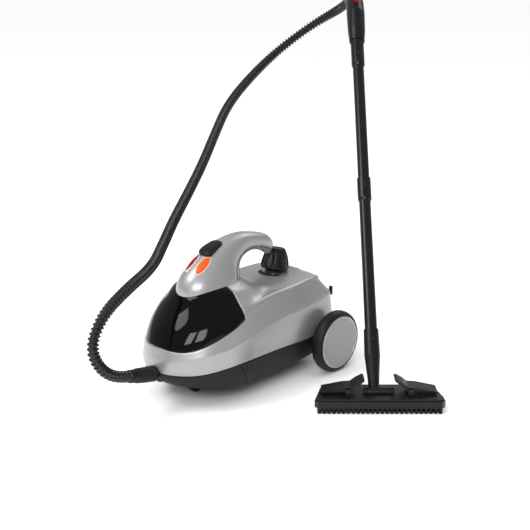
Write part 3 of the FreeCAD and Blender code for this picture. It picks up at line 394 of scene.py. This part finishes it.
# every CAD node keeps a finish of its own; the pieces made below stand for the shaped ones
NODE_FINISH = {
    "silver_shell": silver, "smoke_visor": smoke, "charcoal_base": charcoal,
    "black_plastic": black, "red_lens": red, "amber_lens": amber, "tyre_black": tyre,
    "disc_silver": disc_silver, "hose_black": hose_black, "bristle_black": nylon_black,
    "seal_silicone": silicone, "brass": brass, "stainless": steel, "zinc_steel": steel,
    "white_plastic": white, "neon": lens_rim}
for part in frame["record"]["subparts"]:
    node = frame["nodes"][part["node"]]
    node.data.materials.clear()
    node.data.materials.append(NODE_FINISH[part["material_slot"]])
for name in ("lower_tube", "upper_tube"):
    frame["nodes"][name].data.materials[0] = tube_black

# ---------------------------------------------------------------- camera, light and floor
CAMERA_PLACE = (1283.6, -1342.2, 774.0)
CAMERA_DEGREES = (72.7, 0, 43)
CAMERA_LENS = 74.7
camera_data = bpy.data.cameras.new("camera")
camera_data.lens = CAMERA_LENS
camera_data.sensor_width = 36
camera = bpy.data.objects.new("camera", camera_data)
camera.location = in_unit(*CAMERA_PLACE)
camera.rotation_euler = Euler([math.radians(turn) for turn in CAMERA_DEGREES])
bpy.context.scene.collection.objects.link(camera)
bpy.context.scene.camera = camera


def area_light(name, place, target, size_x, size_y, power):
    """A rectangular light at a place, facing a target, all in metres."""
    data = bpy.data.lights.new(name, "AREA")
    data.shape = "RECTANGLE"
    data.size = size_x
    data.size_y = size_y
    data.energy = power
    lamp = bpy.data.objects.new(name, data)
    lamp.location = place
    lamp.rotation_euler = (Vector(target) - Vector(place)).to_track_quat("-Z", "Y").to_euler()
    bpy.context.scene.collection.objects.link(lamp)


area_light("window_left", (0.78, -2.35, 1.5), (0, 0, 0.15), 0.52, 0.9, 17)
area_light("window_right", (1.42, -2.0, 1.5), (0, 0, 0.15), 0.52, 0.9, 17)
area_light("skylight", (-1.2, -1.5, 2.4), (0, 0, 0.15), 1.3, 1.1, 30)
area_light("back", (-0.6, 2.3, 2.2), (0, 0, 0.2), 1.6, 1.0, 16)
sun_data = bpy.data.lights.new("soft_top", "SUN")
sun_data.energy = 2.3
sun_data.angle = math.radians(80)
sun = bpy.data.objects.new("soft_top", sun_data)
sun.rotation_euler = Euler((math.radians(12), math.radians(-14), 0))
sun.visible_glossy = False
bpy.context.scene.collection.objects.link(sun)

world = bpy.data.worlds.new("studio")
world.use_nodes = True
world.node_tree.nodes["Background"].inputs["Color"].default_value = (1, 1, 1, 1)
world.node_tree.nodes["Background"].inputs["Strength"].default_value = 0.38
bpy.context.scene.world = world
bpy.context.scene.view_settings.view_transform = "Standard"

FLOOR_HALF = 60.0
floor_mesh = bpy.data.meshes.new("floor")
floor_mesh.from_pydata([(-FLOOR_HALF, -FLOOR_HALF, 0), (FLOOR_HALF, -FLOOR_HALF, 0),
                        (FLOOR_HALF, FLOOR_HALF, 0), (-FLOOR_HALF, FLOOR_HALF, 0)],
                       [], [(0, 1, 2, 3)])
floor = bpy.data.objects.new("floor", floor_mesh)
bpy.context.scene.collection.objects.link(floor)
floor_mesh.materials.append(material("floor_white", (0.93, 0.93, 0.93), 0.9, mottle=0.0))

# ---------------------------------------------------------------- hose
# out of the nose, round in a tight bend, back and up past the unit, and into the gun
HOSE_ROUTE = [
    (0, -212, 58), (0, -280, 68), (-3, -334, 86), (-11, -357, 134), (-16, -326, 182),
    (-33, -259, 206), (-63, -177, 218), (-110, -109, 236), (-160, -36, 258), (-208, 42, 282),
    (-268, 140, 316), (-334, 242, 358), (-392, 335, 396), (-426, 432, 437), (-422, 522, 493),
    (-370, 592, 555), (-284, 606, 600), (-223.3, 540.3, 620.5)]
HOSE_RADIUS = 10
HOSE_PITCH = 7.5
RIB_DEPTH = 2.8
# one rib: share of the pitch, share of the depth lost there
RIB_SHAPE = [(0.00, 0.30), (0.07, 0.10), (0.16, 0.0), (0.25, 0.0), (0.34, 0.10), (0.41, 0.30),
             (0.48, 0.8), (0.56, 1.0), (0.85, 1.0), (0.93, 0.8)]
HOSE_SIDES = 28
HOSE_STEPS = 48


def spline_points(points, resolution):
    """Points along the smooth line whose control points are given, in metres."""
    curve = bpy.data.curves.new("route", "CURVE")
    curve.dimensions = "3D"
    spline = curve.splines.new("NURBS")
    spline.points.add(len(points) - 1)
    for control, point in zip(spline.points, points):
        control.co = (*point, 1)
    spline.order_u = 3
    spline.use_endpoint_u = True
    spline.resolution_u = resolution
    holder = bpy.data.objects.new("route", curve)
    bpy.context.scene.collection.objects.link(holder)
    graph = bpy.context.evaluated_depsgraph_get()
    mesh = bpy.data.meshes.new_from_object(holder.evaluated_get(graph))
    line = [vertex.co.copy() for vertex in mesh.vertices]
    bpy.data.objects.remove(holder)
    bpy.data.meshes.remove(mesh)
    return line


hose_line = spline_points([in_unit(*point) for point in HOSE_ROUTE], HOSE_STEPS)
line_array = np.array([tuple(p) for p in hose_line])
line_reach = np.concatenate([[0], np.cumsum(np.linalg.norm(np.diff(line_array, axis=0), axis=1))])
hose_total = line_reach[-1]


def along_hose(distance):
    """Centre, and two directions across, at a distance along the hose in metres."""
    clipped = min(max(distance, 0.0), hose_total)
    centre = np.array([np.interp(clipped, line_reach, line_array[:, axis]) for axis in range(3)])
    ahead = np.array([np.interp(min(clipped + 0.004, hose_total), line_reach, line_array[:, axis])
                      for axis in range(3)])
    behind = np.array([np.interp(max(clipped - 0.004, 0), line_reach, line_array[:, axis])
                       for axis in range(3)])
    direction = (ahead - behind) / np.linalg.norm(ahead - behind)
    side = np.cross(direction, (0.31, -0.55, 0.77))
    side /= np.linalg.norm(side)
    return centre, side, np.cross(direction, side)


def sleeve(name, stations, sides, finish, cap_ends=False):
    """A tube round the hose's line from (distance, radius) stations in metres."""
    points = []
    for distance, radius in stations:
        centre, side, other = along_hose(distance)
        for step in range(sides):
            angle = 2 * math.pi * step / sides
            points.append(centre + radius * (side * math.cos(angle) + other * math.sin(angle)))
    faces = ring_faces(len(stations), sides, cap_ends=cap_ends)
    return outward(new_object(name, points, faces, Matrix.Identity(4), finish))


# distances along the hose, in metres
CUFF_START = 0.024
CUFF_REACH = 0.078
GUN_CUFF_REACH = 0.034
PLAIN_END = 0.001
PLAIN_RADIUS = 0.0086
rib_count = int((hose_total - 2 * PLAIN_END) / (HOSE_PITCH * MM))
rib_stations = [(0.0, PLAIN_RADIUS)]
for rib in range(rib_count):
    for share, lost in RIB_SHAPE:
        rib_stations.append((PLAIN_END + (rib + share) * HOSE_PITCH * MM,
                             (HOSE_RADIUS - RIB_DEPTH * lost) * MM))
rib_stations.append((hose_total, PLAIN_RADIUS))
hose = sleeve("corrugated_hose", rib_stations, HOSE_SIDES, hose_black, cap_ends=True)


def cuff_stations(start, end, ring_pitch, big, small, first_radius, last_radius):
    """A moulded cuff: a smooth tapered end, a collar, then ribs that shrink along it."""
    stations = [(start, first_radius - 0.001), (start + 0.0006, first_radius),
                (start + 0.008, first_radius), (start + 0.0088, first_radius - 0.0008)]
    count = int((end - start - 0.018) / ring_pitch)
    for ring in range(count):
        low = start + 0.0092 + ring * ring_pitch
        share = ring / max(1, count - 1)
        crest = big + (last_radius - big) * share
        groove = crest - small
        stations += [(low, groove), (low + 0.14 * ring_pitch, groove),
                     (low + 0.28 * ring_pitch, crest - 0.0002), (low + 0.38 * ring_pitch, crest),
                     (low + 0.78 * ring_pitch, crest), (low + 0.9 * ring_pitch, crest - 0.0003)]
    tail = start + 0.0092 + count * ring_pitch
    stations += [(tail, last_radius - small), (tail + 0.001, last_radius - 0.0012),
                 (end - 0.001, last_radius - 0.0014), (end, last_radius - 0.0022),
                 (end + 0.0002, 0.0095)]
    return stations


nose_cuff = sleeve("nose_cuff", cuff_stations(
    CUFF_START, CUFF_REACH, 0.0062, 0.0134, 0.0016, 0.0135, 0.0124), 40, tyre)
show(nose_cuff, "unit", "tyre_black", "hose_cuff")
gun_cuff = sleeve("gun_end_cuff", [
    (hose_total - distance, radius) for distance, radius in cuff_stations(
        0.0, GUN_CUFF_REACH, 0.005, 0.0132, 0.0013, 0.0133, 0.0122)], 40, tyre)
show(gun_cuff, "wand", "tyre_black", "gun_cuff")
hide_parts("steam_hose")
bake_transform(hose)

# ---------------------------------------------------------------- housing
SHELL_WALL = 2.4
VISOR_WALL = 2.2
WIDEST_Y = -107
SIDE_TAPER = 0.02
TAIL_POWER = 6
# height, nose reach, half width, tail reach of the outline at that height
LEVELS = [(16, 150, 70, 104), (24, 196, 84, 116), (34, 213, 92, 126), (50, 226, 97, 134),
          (58, 229, 98, 136), (72, 231, 99, 139), (100, 229, 99, 146), (130, 212, 95, 142),
          (150, 193, 88, 131), (165, 181, 78, 112), (172, 174, 71, 112), (180, 169, 65, 112),
          (187, 164, 58, 112), (192, 157, 49, 112), (195, 147, 36, 112), (197, 125, 18, 112)]
# the dome above the deck: height, nose, half width, tail
DOME = [(165, 181, 78, 0), (180, 169, 65, -25), (187, 164, 58, -36), (195, 147, 36, -47)]
DOME_TOP = 196
FRONT_TURNS = [0, 14, 28, 42, 56, 70, 80, 90]
BACK_SHARES = [0.08, 0.2, 0.33, 0.46, 0.6, 0.72, 0.82, 0.9, 0.955, 0.985, 0.997, 1.0]
# heights by distance along the side: (y, split, side crease, deck crease)
SIDE_LINES = [(-232, 62, 84, 105), (-224, 62, 86, 103), (-213, 62.5, 89, 103),
              (-194, 64, 95, 109), (-169, 68, 101, 121), (-142, 72, 109, 132.5),
              (-124, 73.5, 112.5, 138.5), (-107, 74, 115, 143.5), (-88, 73.5, 118, 147.5),
              (-59, 73, 122, 151.5), (-28, 72, 125.5, 156), (0, 71, 128.5, 159.5),
              (30, 69.5, 131, 162), (60, 68, 132.5, 163.5), (95, 68, 133, 162),
              (120, 68, 133, 158), (146, 68, 133, 152)]


def outline_at(height, column, tail=None, grow=0.0):
    """A point of the housing's outline at a height, for one column of the grid."""
    nose, width, tail_there = table_value(LEVELS, height)
    tail_there = tail_there if tail is None else tail
    kind, value = column
    if kind == "front":
        turn = math.radians(value)
        y = WIDEST_Y - (nose + grow + WIDEST_Y) * math.cos(turn)
        x = (width + grow) * math.sin(turn)
    else:
        y = WIDEST_Y + (tail_there + grow - WIDEST_Y) * value
        side = max(0.0, 1 - value ** TAIL_POWER) ** (1 / TAIL_POWER)
        x = (width + grow - SIDE_TAPER * (y - WIDEST_Y)) * side
    return x, y


def deck_height(x, y):
    """Height of the deck and of the dome in front of it, seen from above."""
    heights, nearness = [], []
    for level, nose, width, tail in DOME:
        reach = nose + WIDEST_Y if y < WIDEST_Y else tail - WIDEST_Y
        nearness.append(math.hypot(x / width, (y - WIDEST_Y) / reach))
        heights.append(level)
    crown = 6 * max(0.0, 1 - (x / 75) ** 2)
    if nearness[0] >= 1:
        return DECK_LEVEL + crown
    for index in range(1, len(DOME)):
        if nearness[index] >= 1:
            inner, outer = nearness[index], nearness[index - 1]
            share = (1 - outer) / max(1e-6, inner - outer)
            return heights[index - 1] + (heights[index] - heights[index - 1]) * share + (
                crown * (1 - share) if index == 1 else 0)
    return DOME_TOP


columns = [("front", turn) for turn in FRONT_TURNS] + [("back", share) for share in BACK_SHARES]
visor_columns = len(FRONT_TURNS) - 1
TOP_SHARES = [0.16, 0.34, 0.52, 0.7, 0.86, 1.0]
DECK_SHARES = [0.95, 0.86, 0.72, 0.54, 0.36, 0.18]
BACK_EDGE_Y = 104
EDGE_DRAW = -2.0
DOME_DRAW = -1.0
DOME_FADE = 0.34
RIDGE_REACH = 20
REAR_DROP_Y = 80
REAR_DROP = 5.0
DECK_LEVEL = 165


def housing_column(column):
    """The points of one column, from the split line up to the ridge."""
    kind, value = column
    guess = outline_at(100, column)[1]
    split, side_crease, deck_crease = table_value(SIDE_LINES, guess)
    points = []
    for height, grow in ((split, 0.4), (split + 0.35 * (side_crease - split), 1.0),
                         (side_crease - 6, 0.6), (side_crease, 0.2)):
        x, y = outline_at(height, column, grow=grow)
        points.append((x, y, height))
    x_edge, y_edge = outline_at(deck_crease, column, grow=EDGE_DRAW)
    points.append((x_edge, y_edge, deck_crease))
    for top_share, deck_share in zip(TOP_SHARES, DECK_SHARES):
        height = deck_crease + top_share * (DOME_TOP - 1 - deck_crease)
        if kind == "front":
            x, y = outline_at(height, column, grow=DOME_DRAW)
            points.append((x, y, height))
            continue
        dome_x = outline_at(height, ("front", 90), grow=DOME_DRAW)[0]
        share_back = ease(value, 0.0, DOME_FADE)
        x = (1 - share_back) * dome_x + share_back * deck_share * x_edge
        y = y_edge - (y_edge - min(y_edge, BACK_EDGE_Y)) * min(1.0, 1.6 * (1 - deck_share))
        flat = deck_height(x, y)
        if y > REAR_DROP_Y:
            flat -= REAR_DROP * ((y - REAR_DROP_Y) / 30) ** 2
        dome_z = (1 - share_back) * height + share_back * flat
        points.append((x, y, min(dome_z, flat) if value > 0.15 else dome_z))
    if kind == "front":
        ridge_y = WIDEST_Y - RIDGE_REACH * math.cos(math.radians(value))
        points.append((0, ridge_y, DOME_TOP + 0.5))
    else:
        ridge_y = WIDEST_Y + (BACK_EDGE_Y - WIDEST_Y) * value
        drop = REAR_DROP * max(0, ridge_y - REAR_DROP_Y) / 30
        points.append((0, ridge_y, deck_height(0, ridge_y) - drop))
    return points


grid = [housing_column(column) for column in columns]
row_total = len(grid[0])
half_points = []
half_index = {}
for i, column_points in enumerate(grid):
    for j, (x, y, z) in enumerate(column_points):
        on_middle = i == 0 or i == len(grid) - 1 or j == row_total - 1
        half_index[i, j] = len(half_points)
        half_points.append((0.0 if on_middle else x, y, z))
half_faces, half_tags, half_sharp = [], [], {}
EDGE_ROW = 4
SIDE_ROW = 3
for i in range(len(grid) - 1):
    for j in range(row_total - 1):
        half_faces.append((half_index[i, j], half_index[i + 1, j],
                           half_index[i + 1, j + 1], half_index[i, j + 1]))
        half_tags.append(1 if i < visor_columns and j >= EDGE_ROW else 0)
    for row, weight in ((SIDE_ROW, 0.55), (EDGE_ROW, 0.8 if i < visor_columns else 0.6)):
        half_sharp[tuple(sorted((half_index[i, row], half_index[i + 1, row])))] = weight
cage_points, cage_faces, cage_tags, cage_sharp = mirrored(
    half_points, half_faces, half_tags, half_sharp)
house_points, house_faces, house_tags = cage_surface(
    cage_points, cage_faces, cage_tags, cage_sharp, levels=3)
shell_points, shell_faces = tagged_part(house_points, house_faces, house_tags, 0)
visor_points, visor_faces = tagged_part(house_points, house_faces, house_tags, 1)
upper_shell = thick_shell("silver_upper_shell", shell_points, shell_faces, UNIT, silver,
                          SHELL_WALL, inset=0.35, drop=0.35)
show(upper_shell, "unit", "silver_shell", "upper_shell")
visor = thick_shell("smoked_visor", visor_points, visor_faces, UNIT, smoke, VISOR_WALL,
                    inset=0.45, drop=0.35)
show(visor, "unit", "smoke_visor", "visor_panel")

# ---------------------------------------------------------------- base tub
# height of the tub's bottom edge by distance along the unit
BOTTOM_LINE = [(-232, 42), (-172, 30), (-128, 24), (-51, 20), (64, 18), (146, 18)]
SKIN_SHARES = [0.0, 0.22, 0.45, 0.68, 0.86, 1.0]
SEAM_LEAN = 14
seam_column = FRONT_TURNS.index(80)


def tub_column(kind, value, share):
    """A housing column, leaning back by its share of the way down the tub."""
    if kind == "front":
        return kind, value + SEAM_LEAN * share * (value / 90) ** 2
    return kind, value + 0.05 * share * (1 - value)


tub_points, tub_index = [], {}
for i, (kind, value) in enumerate(columns):
    y_there = outline_at(60, (kind, value))[1]
    split = table_value(SIDE_LINES, y_there)[0] - 0.8
    bottom = table_value(BOTTOM_LINE, y_there)[0]
    for j, share in enumerate(SKIN_SHARES):
        height = split + (bottom - split) * share
        x, y = outline_at(height, tub_column(kind, value, share), grow=-0.8)
        on_middle = i == 0 or i == len(columns) - 1
        tub_index[i, j] = len(tub_points)
        tub_points.append((0.0 if on_middle else x, y, height))
tub_faces, tub_tags = [], []
for i in range(len(columns) - 1):
    for j in range(len(SKIN_SHARES) - 1):
        tub_faces.append((tub_index[i, j + 1], tub_index[i + 1, j + 1],
                          tub_index[i + 1, j], tub_index[i, j]))
        tub_tags.append(0 if i < seam_column else 1)
tub_points, tub_faces, tub_tags, _ = mirrored(tub_points, tub_faces, tub_tags, {})
tub_points, tub_faces, tub_tags = cage_surface(tub_points, tub_faces, tub_tags, levels=3)
for tag, name in ((0, "base_front_skin"), (1, "base_rear_skin")):
    part_points, part_faces = tagged_part(tub_points, tub_faces, tub_tags, tag)
    skin = thick_shell(name, part_points, part_faces, UNIT, charcoal, SHELL_WALL, 0.4, 0.3)
    show(skin, "unit", "charcoal_base", "lower_base")

# the screws that hold the tub to the upper shell
SCREW_PLACES = [(88, -107), (83, 0), (40, 127)]
screw_profile = rounded([
    (0.01, 45), (1.6, 45.2), (2.0, 44), (3.5, 44.1), (3.8, 45.4), (3.4, 47.2), (1.7, 47.6),
    (1.6, 88), (0.01, 90)], 0.3)
for number, (x, y) in enumerate(SCREW_PLACES):
    for side in (-1, 1):
        screw_frame = UNIT @ Matrix.Translation((side * x, y, 0))
        screw = lathe(f"tub_screw_{number}_{side + 1}", screw_profile, 24, screw_frame, steel)
        show(screw, "unit", "zinc_steel", "housing_screws")

# the tub's floor, with a well over the caster
CASTER_Y = -150
FLOOR_LIFT = 0.8
WELL_RADIUS = 27
WELL_TOP = 42
WELL_SIDES = 48
plate = bmesh.new()
rim = []
for side, order in ((1, columns), (-1, columns[-2:0:-1])):
    for kind, value in order:
        y_there = outline_at(60, (kind, value))[1]
        bottom = table_value(BOTTOM_LINE, y_there)[0]
        x, y = outline_at(bottom, tub_column(kind, value, 1.0), grow=-2.0)
        x = 0.0 if (kind, value) in (columns[0], columns[-1]) else x * side
        rim.append(plate.verts.new(UNIT @ Vector((x, y, bottom + FLOOR_LIFT))))
well_low, well_high = [], []
for step in range(WELL_SIDES):
    angle = 2 * math.pi * step / WELL_SIDES
    x = WELL_RADIUS * math.cos(angle)
    y = CASTER_Y + WELL_RADIUS * math.sin(angle)
    low = table_value(BOTTOM_LINE, y)[0] + FLOOR_LIFT
    well_low.append(plate.verts.new(UNIT @ Vector((x, y, low))))
    well_high.append(plate.verts.new(UNIT @ Vector((x, y, WELL_TOP))))
loops = []
for ring in (rim, well_low):
    for first, second in zip(ring, ring[1:] + ring[:1]):
        loops.append(plate.edges.new((first, second)))
bmesh.ops.triangle_fill(plate, use_beauty=True, use_dissolve=False, edges=loops)
for step in range(WELL_SIDES):
    after = (step + 1) % WELL_SIDES
    plate.faces.new((well_low[step], well_low[after], well_high[after], well_high[step]))
plate.faces.new(well_high)
bmesh.ops.recalc_face_normals(plate, faces=plate.faces)
plate_mesh = bpy.data.meshes.new("base_floor")
plate.to_mesh(plate_mesh)
plate.free()
base_floor = bpy.data.objects.new("base_floor", plate_mesh)
bpy.context.scene.collection.objects.link(base_floor)
plate_mesh.materials.append(charcoal)
show(base_floor, "unit", "charcoal_base")

BOSS_RADIUS = 20
for name, sign in (("left", 1), ("right", -1)):
    boss_frame = (Matrix.Translation(in_unit(0, AXLE_Y, WHEEL_RADIUS))
                  @ Matrix.Rotation(math.radians(90 * sign), 4, "Y") @ Matrix.Scale(MM, 4))
    boss = lathe(f"{name}_axle_boss", rounded([
        (24, 84), (23, 92), (BOSS_RADIUS, 98.4), (BOSS_RADIUS - 2, 99), (4.2, 99)], 1.2),
        64, boss_frame, charcoal)
    show(boss, "unit", "charcoal_base")

# ---------------------------------------------------------------- handle
# each station: outer edge (y, z), inner edge (y, z), half width, squareness
HANDLE_STATIONS = [
    ((-168, 168), (-50, 168), 46, 2.0), ((-169, 184), (-49, 184), 46, 2.0),
    ((-164, 199), (-48, 196), 44, 2.0), ((-153, 213), (-47.5, 205), 39, 2.0),
    ((-134, 228.5), (-46, 212), 33, 2.1), ((-110, 243.5), (-42, 219), 28.5, 2.2),
    ((-76, 257), (-34, 225), 24, 2.4),
    ((-34, 262), (-24, 228), 20.5, 2.5), ((-3.6, 258), (-4, 228.5), 19, 2.5),
    ((27.7, 249.4), (20, 221.5), 18, 2.4), ((44, 235.5), (32.5, 214.5), 14.5, 2.2),
    ((48.6, 226), (38.5, 212), 8.5, 2.0)]
HANDLE_SIDES = 20
handle_points = []
for outer_edge, inner_edge, half_width, squareness in HANDLE_STATIONS:
    outer_point = Vector((0, *outer_edge))
    inner_point = Vector((0, *inner_edge))
    middle = (outer_point + inner_point) / 2
    reach = (outer_point - inner_point) / 2
    for side in range(HANDLE_SIDES):
        angle = 2 * math.pi * side / HANDLE_SIDES
        out, wide = squared_circle(angle, squareness)
        handle_points.append(tuple(middle + reach * out + Vector((half_width * wide, 0, 0))))
handle_faces = ring_faces(len(HANDLE_STATIONS), HANDLE_SIDES)
UNDER_SIDES = (7, 8, 9, 10, 11, 12)
UNDER_FIRST_ROW = 2
handle_tags = []
for row in range(len(HANDLE_STATIONS) - 1):
    for side in range(HANDLE_SIDES):
        under = side in UNDER_SIDES and row >= UNDER_FIRST_ROW
        handle_tags.append(1 if under else 0)
tip_start = (len(HANDLE_STATIONS) - 1) * HANDLE_SIDES
tip_middle = len(handle_points)
handle_points.append((0, 44.6, 218.2))
for side in range(HANDLE_SIDES):
    handle_faces.append((tip_start + side, tip_start + (side + 1) % HANDLE_SIDES, tip_middle))
    handle_tags.append(1 if side in UNDER_SIDES else 0)
grip_points, grip_faces, grip_tags = cage_surface(
    handle_points, handle_faces, handle_tags, levels=3)
cover_part = tagged_part(grip_points, grip_faces, grip_tags, 0)
under_part = tagged_part(grip_points, grip_faces, grip_tags, 1)
handle_cover = thick_shell("handle_cover_shell", *cover_part, UNIT, silver, SHELL_WALL, 0.3, 0.3)
show(handle_cover, "unit", "silver_shell", "handle_cover")
handle_under = thick_shell(
    "handle_inner_strip", *under_part, UNIT, silver_dark, SHELL_WALL, 0.3, 0.3)
show(handle_under, "unit", "silver_shell", "handle_underside")
handle_tree = BVHTree.FromPolygons([tuple(p) for p in grip_points], grip_faces)


def seated(frame_here, x, y, lift=0.0):
    """A point above the handle's skin, straight below (x, y) of a local frame, in mm."""
    start = frame_here @ Vector((x, y, 40))
    down = -(frame_here.to_3x3() @ Vector((0, 0, 1)))
    hit = handle_tree.ray_cast(start, down)[0]
    if hit is None:
        hit = frame_here @ Vector((x, y, 0))
    return hit - down * lift


# lenses: a light rim round a coloured oval cut in facets
LENS_HALF_X = 7.7
LENS_HALF_Y = 19
LENS_PLACE = (12.5, -131, 226)
LENS_LEAN = 39
LENS_SPLAY = 14
FACETS = 18
LENS_RIM_SIDES = 48
for side, finish, slot_name, node_name in ((-1, red, "red_lens", "lens_red"),
                                           (1, amber, "amber_lens", "lens_amber")):
    lens_frame = (Matrix.Translation((side * LENS_PLACE[0], *LENS_PLACE[1:]))
                  @ Matrix.Rotation(math.radians(LENS_LEAN), 4, "X")
                  @ Matrix.Rotation(math.radians(side * LENS_SPLAY), 4, "Y"))
    rings = [(1.0, -1.0), (1.0, 0.5), (0.97, 0.75), (0.9, 1.0), (0.72, 1.35), (0.5, 1.5),
             (0.27, 1.75), (0.05, 1.7)]
    points = []
    for ring, (share, lift) in enumerate(rings):
        for step in range(FACETS):
            angle = 2 * math.pi * (step + 0.5 * (ring % 2)) / FACETS
            bump = 0.28 if (step + ring) % 2 and ring > 3 else 0.0
            points.append(seated(lens_frame, LENS_HALF_X * share * math.cos(angle),
                                 LENS_HALF_Y * share * math.sin(angle), lift + bump))
    faces = ring_faces(len(rings), FACETS)
    faces.append(ring_cap(len(rings) - 1, FACETS))
    lens = outward(new_object(slot_name + "_glass", points, faces, UNIT, finish, smooth=False))
    show(lens, "unit", slot_name, node_name)
    rim_rings = [(1.10, -0.8), (1.10, 0.45), (1.06, 0.9), (1.0, 0.95), (0.97, 0.3)]
    points = []
    for share, lift in rim_rings:
        for step in range(LENS_RIM_SIDES):
            angle = 2 * math.pi * step / LENS_RIM_SIDES
            extra = (share - 1) * LENS_HALF_X
            points.append(seated(lens_frame, (LENS_HALF_X + extra) * math.cos(angle),
                                 (LENS_HALF_Y + extra) * math.sin(angle), lift))
    faces = ring_faces(len(rim_rings), LENS_RIM_SIDES)
    rim = outward(new_object(slot_name + "_rim", points, faces, UNIT, lens_rim))
    show(rim, "unit", "silver_shell")

# rocker: a rounded key with a lower front facet
ROCKER_PLACE = (0, -99, 246)
ROCKER_LEAN = 17
ROCKER_FRAME = (Matrix.Translation(ROCKER_PLACE)
                @ Matrix.Rotation(math.radians(ROCKER_LEAN), 4, "X"))
key_rings = [(1.0, -2.0), (1.0, 4.6), (0.985, 5.9), (0.93, 6.6), (0.6, 6.9), (0.2, 7.0)]
key_points = []
KEY_SIDES = 40
KEY_SQUARENESS = 4
KEY_HALF_LENGTH = 20.8
KEY_HALF_WIDTH = 13.4
KEY_TAPER = 1.5
KEY_TAPER_LENGTH = 21
FACET_SLOPE = 0.14
FACET_START = 4
FACET_LIFT = 3
for share, lift in key_rings:
    for step in range(KEY_SIDES):
        angle = 2 * math.pi * step / KEY_SIDES
        c, s = squared_circle(angle, KEY_SQUARENESS)
        y = KEY_HALF_LENGTH * s
        half = KEY_HALF_WIDTH - KEY_TAPER * y / KEY_TAPER_LENGTH
        x = half * c
        y *= share
        x *= share
        slope = -FACET_SLOPE * max(0.0, -y - FACET_START) if lift > FACET_LIFT else 0.0
        key_points.append((x, y, lift + slope))
key_faces = ring_faces(len(key_rings), KEY_SIDES)
key_faces.append(ring_cap(len(key_rings) - 1, KEY_SIDES))
key_faces.append(ring_cap(0, KEY_SIDES)[::-1])
rocker = outward(new_object("rocker_key", key_points, key_faces, UNIT @ ROCKER_FRAME, black))
show(rocker, "rocker", "black_plastic", "power_rocker")

# ---------------------------------------------------------------- safety cap
FLUTES = 8
FLUTE_HEIGHT = 29
FLUTE_HALF_LENGTH = 13.5
FLUTE_SHARE = 0.33
FLUTE_DEPTH = 3.0
PROFILE_STEP = 1.2
KNOB_SIDES = 128


def fluted(angle, height, radius):
    """Oval dimples round the cone of the cap."""
    share = (height - FLUTE_HEIGHT) / FLUTE_HALF_LENGTH
    if abs(share) >= 1 or radius < 10:
        return radius
    phase = ((angle * FLUTES / (2 * math.pi)) % 1.0 - 0.5) / FLUTE_SHARE
    depth = max(0.0, 1 - share * share - phase * phase)
    return radius - FLUTE_DEPTH * math.sqrt(depth)


knob_profile = rounded([(0.01, 8), (14, 8), (14, 10.5), (24.5, 10.8), (25.8, 13.5), (25.0, 22),
                        (22.4, 33), (19.4, 41), (16.4, 46.6), (13.9, 48.6), (13.0, 48.8),
                        (12.6, 47.8), (0.01, 47.6)], 1.2)
# short steps, so that the dimples come out round
dense = []
for (r0, z0), (r1, z1) in zip(knob_profile, knob_profile[1:]):
    pieces = max(1, int(math.hypot(r1 - r0, z1 - z0) / PROFILE_STEP))
    dense += [(r0 + (r1 - r0) * k / pieces, z0 + (z1 - z0) * k / pieces) for k in range(pieces)]
dense.append(knob_profile[-1])
knob = lathe("fluted_cap", dense, KNOB_SIDES, FILLER, black, fluted)
show(knob, "safety_cap", "black_plastic", "cap_knob")
collar = lathe("filler_ring", rounded([
    (19, -2), (29.2, -2), (29.2, 1.2), (27.4, 2.4), (24.2, 3.4), (21, 3.2), (19, 1.2),
    (19, -2)], 0.8), 96, FILLER, charcoal)
show(collar, "unit", "black_plastic", "filler_collar")

# ---------------------------------------------------------------- road wheels
HUB_X = 100
WHEEL_SIDES = 128
tyre_profile = rounded([
    (4.05, 0.0), (16, 0.0), (17, 5), (30, 6.5), (46, 4.5), (50.5, 4.2), (54.6, 7.5),
    (56, 12), (56, 17.5), (54.7, 23.2), (51.6, 26.8), (49.4, 27.4), (47.6, 26.9), (47.3, 24.5),
    (4.05, 24.4)], 1.6)
disc_profile = rounded([
    (0.01, 25.0), (47.0, 25.0), (47.0, 26.6), (46.3, 27.1), (45.4, 27.1), (44.9, 26.6),
    (30, 26.9), (0.01, 27.2)], 0.35)
edge_profile = rounded([
    (46.0, 26.8), (47.2, 26.8), (47.2, 27.5), (46.6, 27.8), (46.0, 27.5), (46.0, 26.8)], 0.2)
for name, sign in (("left", 1), ("right", -1)):
    start = unit_place + Vector((sign * HUB_X, AXLE_Y, WHEEL_RADIUS)) * MM
    wheel_frame = (Matrix.Translation(start)
                   @ Matrix.Rotation(math.radians(90 * sign), 4, "Y") @ Matrix.Scale(MM, 4))
    body = f"{name}_road_wheel"
    rubber = lathe(f"{name}_tyre", tyre_profile, WHEEL_SIDES, wheel_frame, tyre)
    show(rubber, body, "tyre_black", f"{name}_wheel")
    disc = lathe(f"{name}_trim_disc", disc_profile, WHEEL_SIDES, wheel_frame, disc_silver)
    show(disc, body, "disc_silver", f"{name}_wheel_disc")
    edge = lathe(f"{name}_trim_edge", edge_profile, WHEEL_SIDES, wheel_frame, bright)
    show(edge, body, "disc_silver")
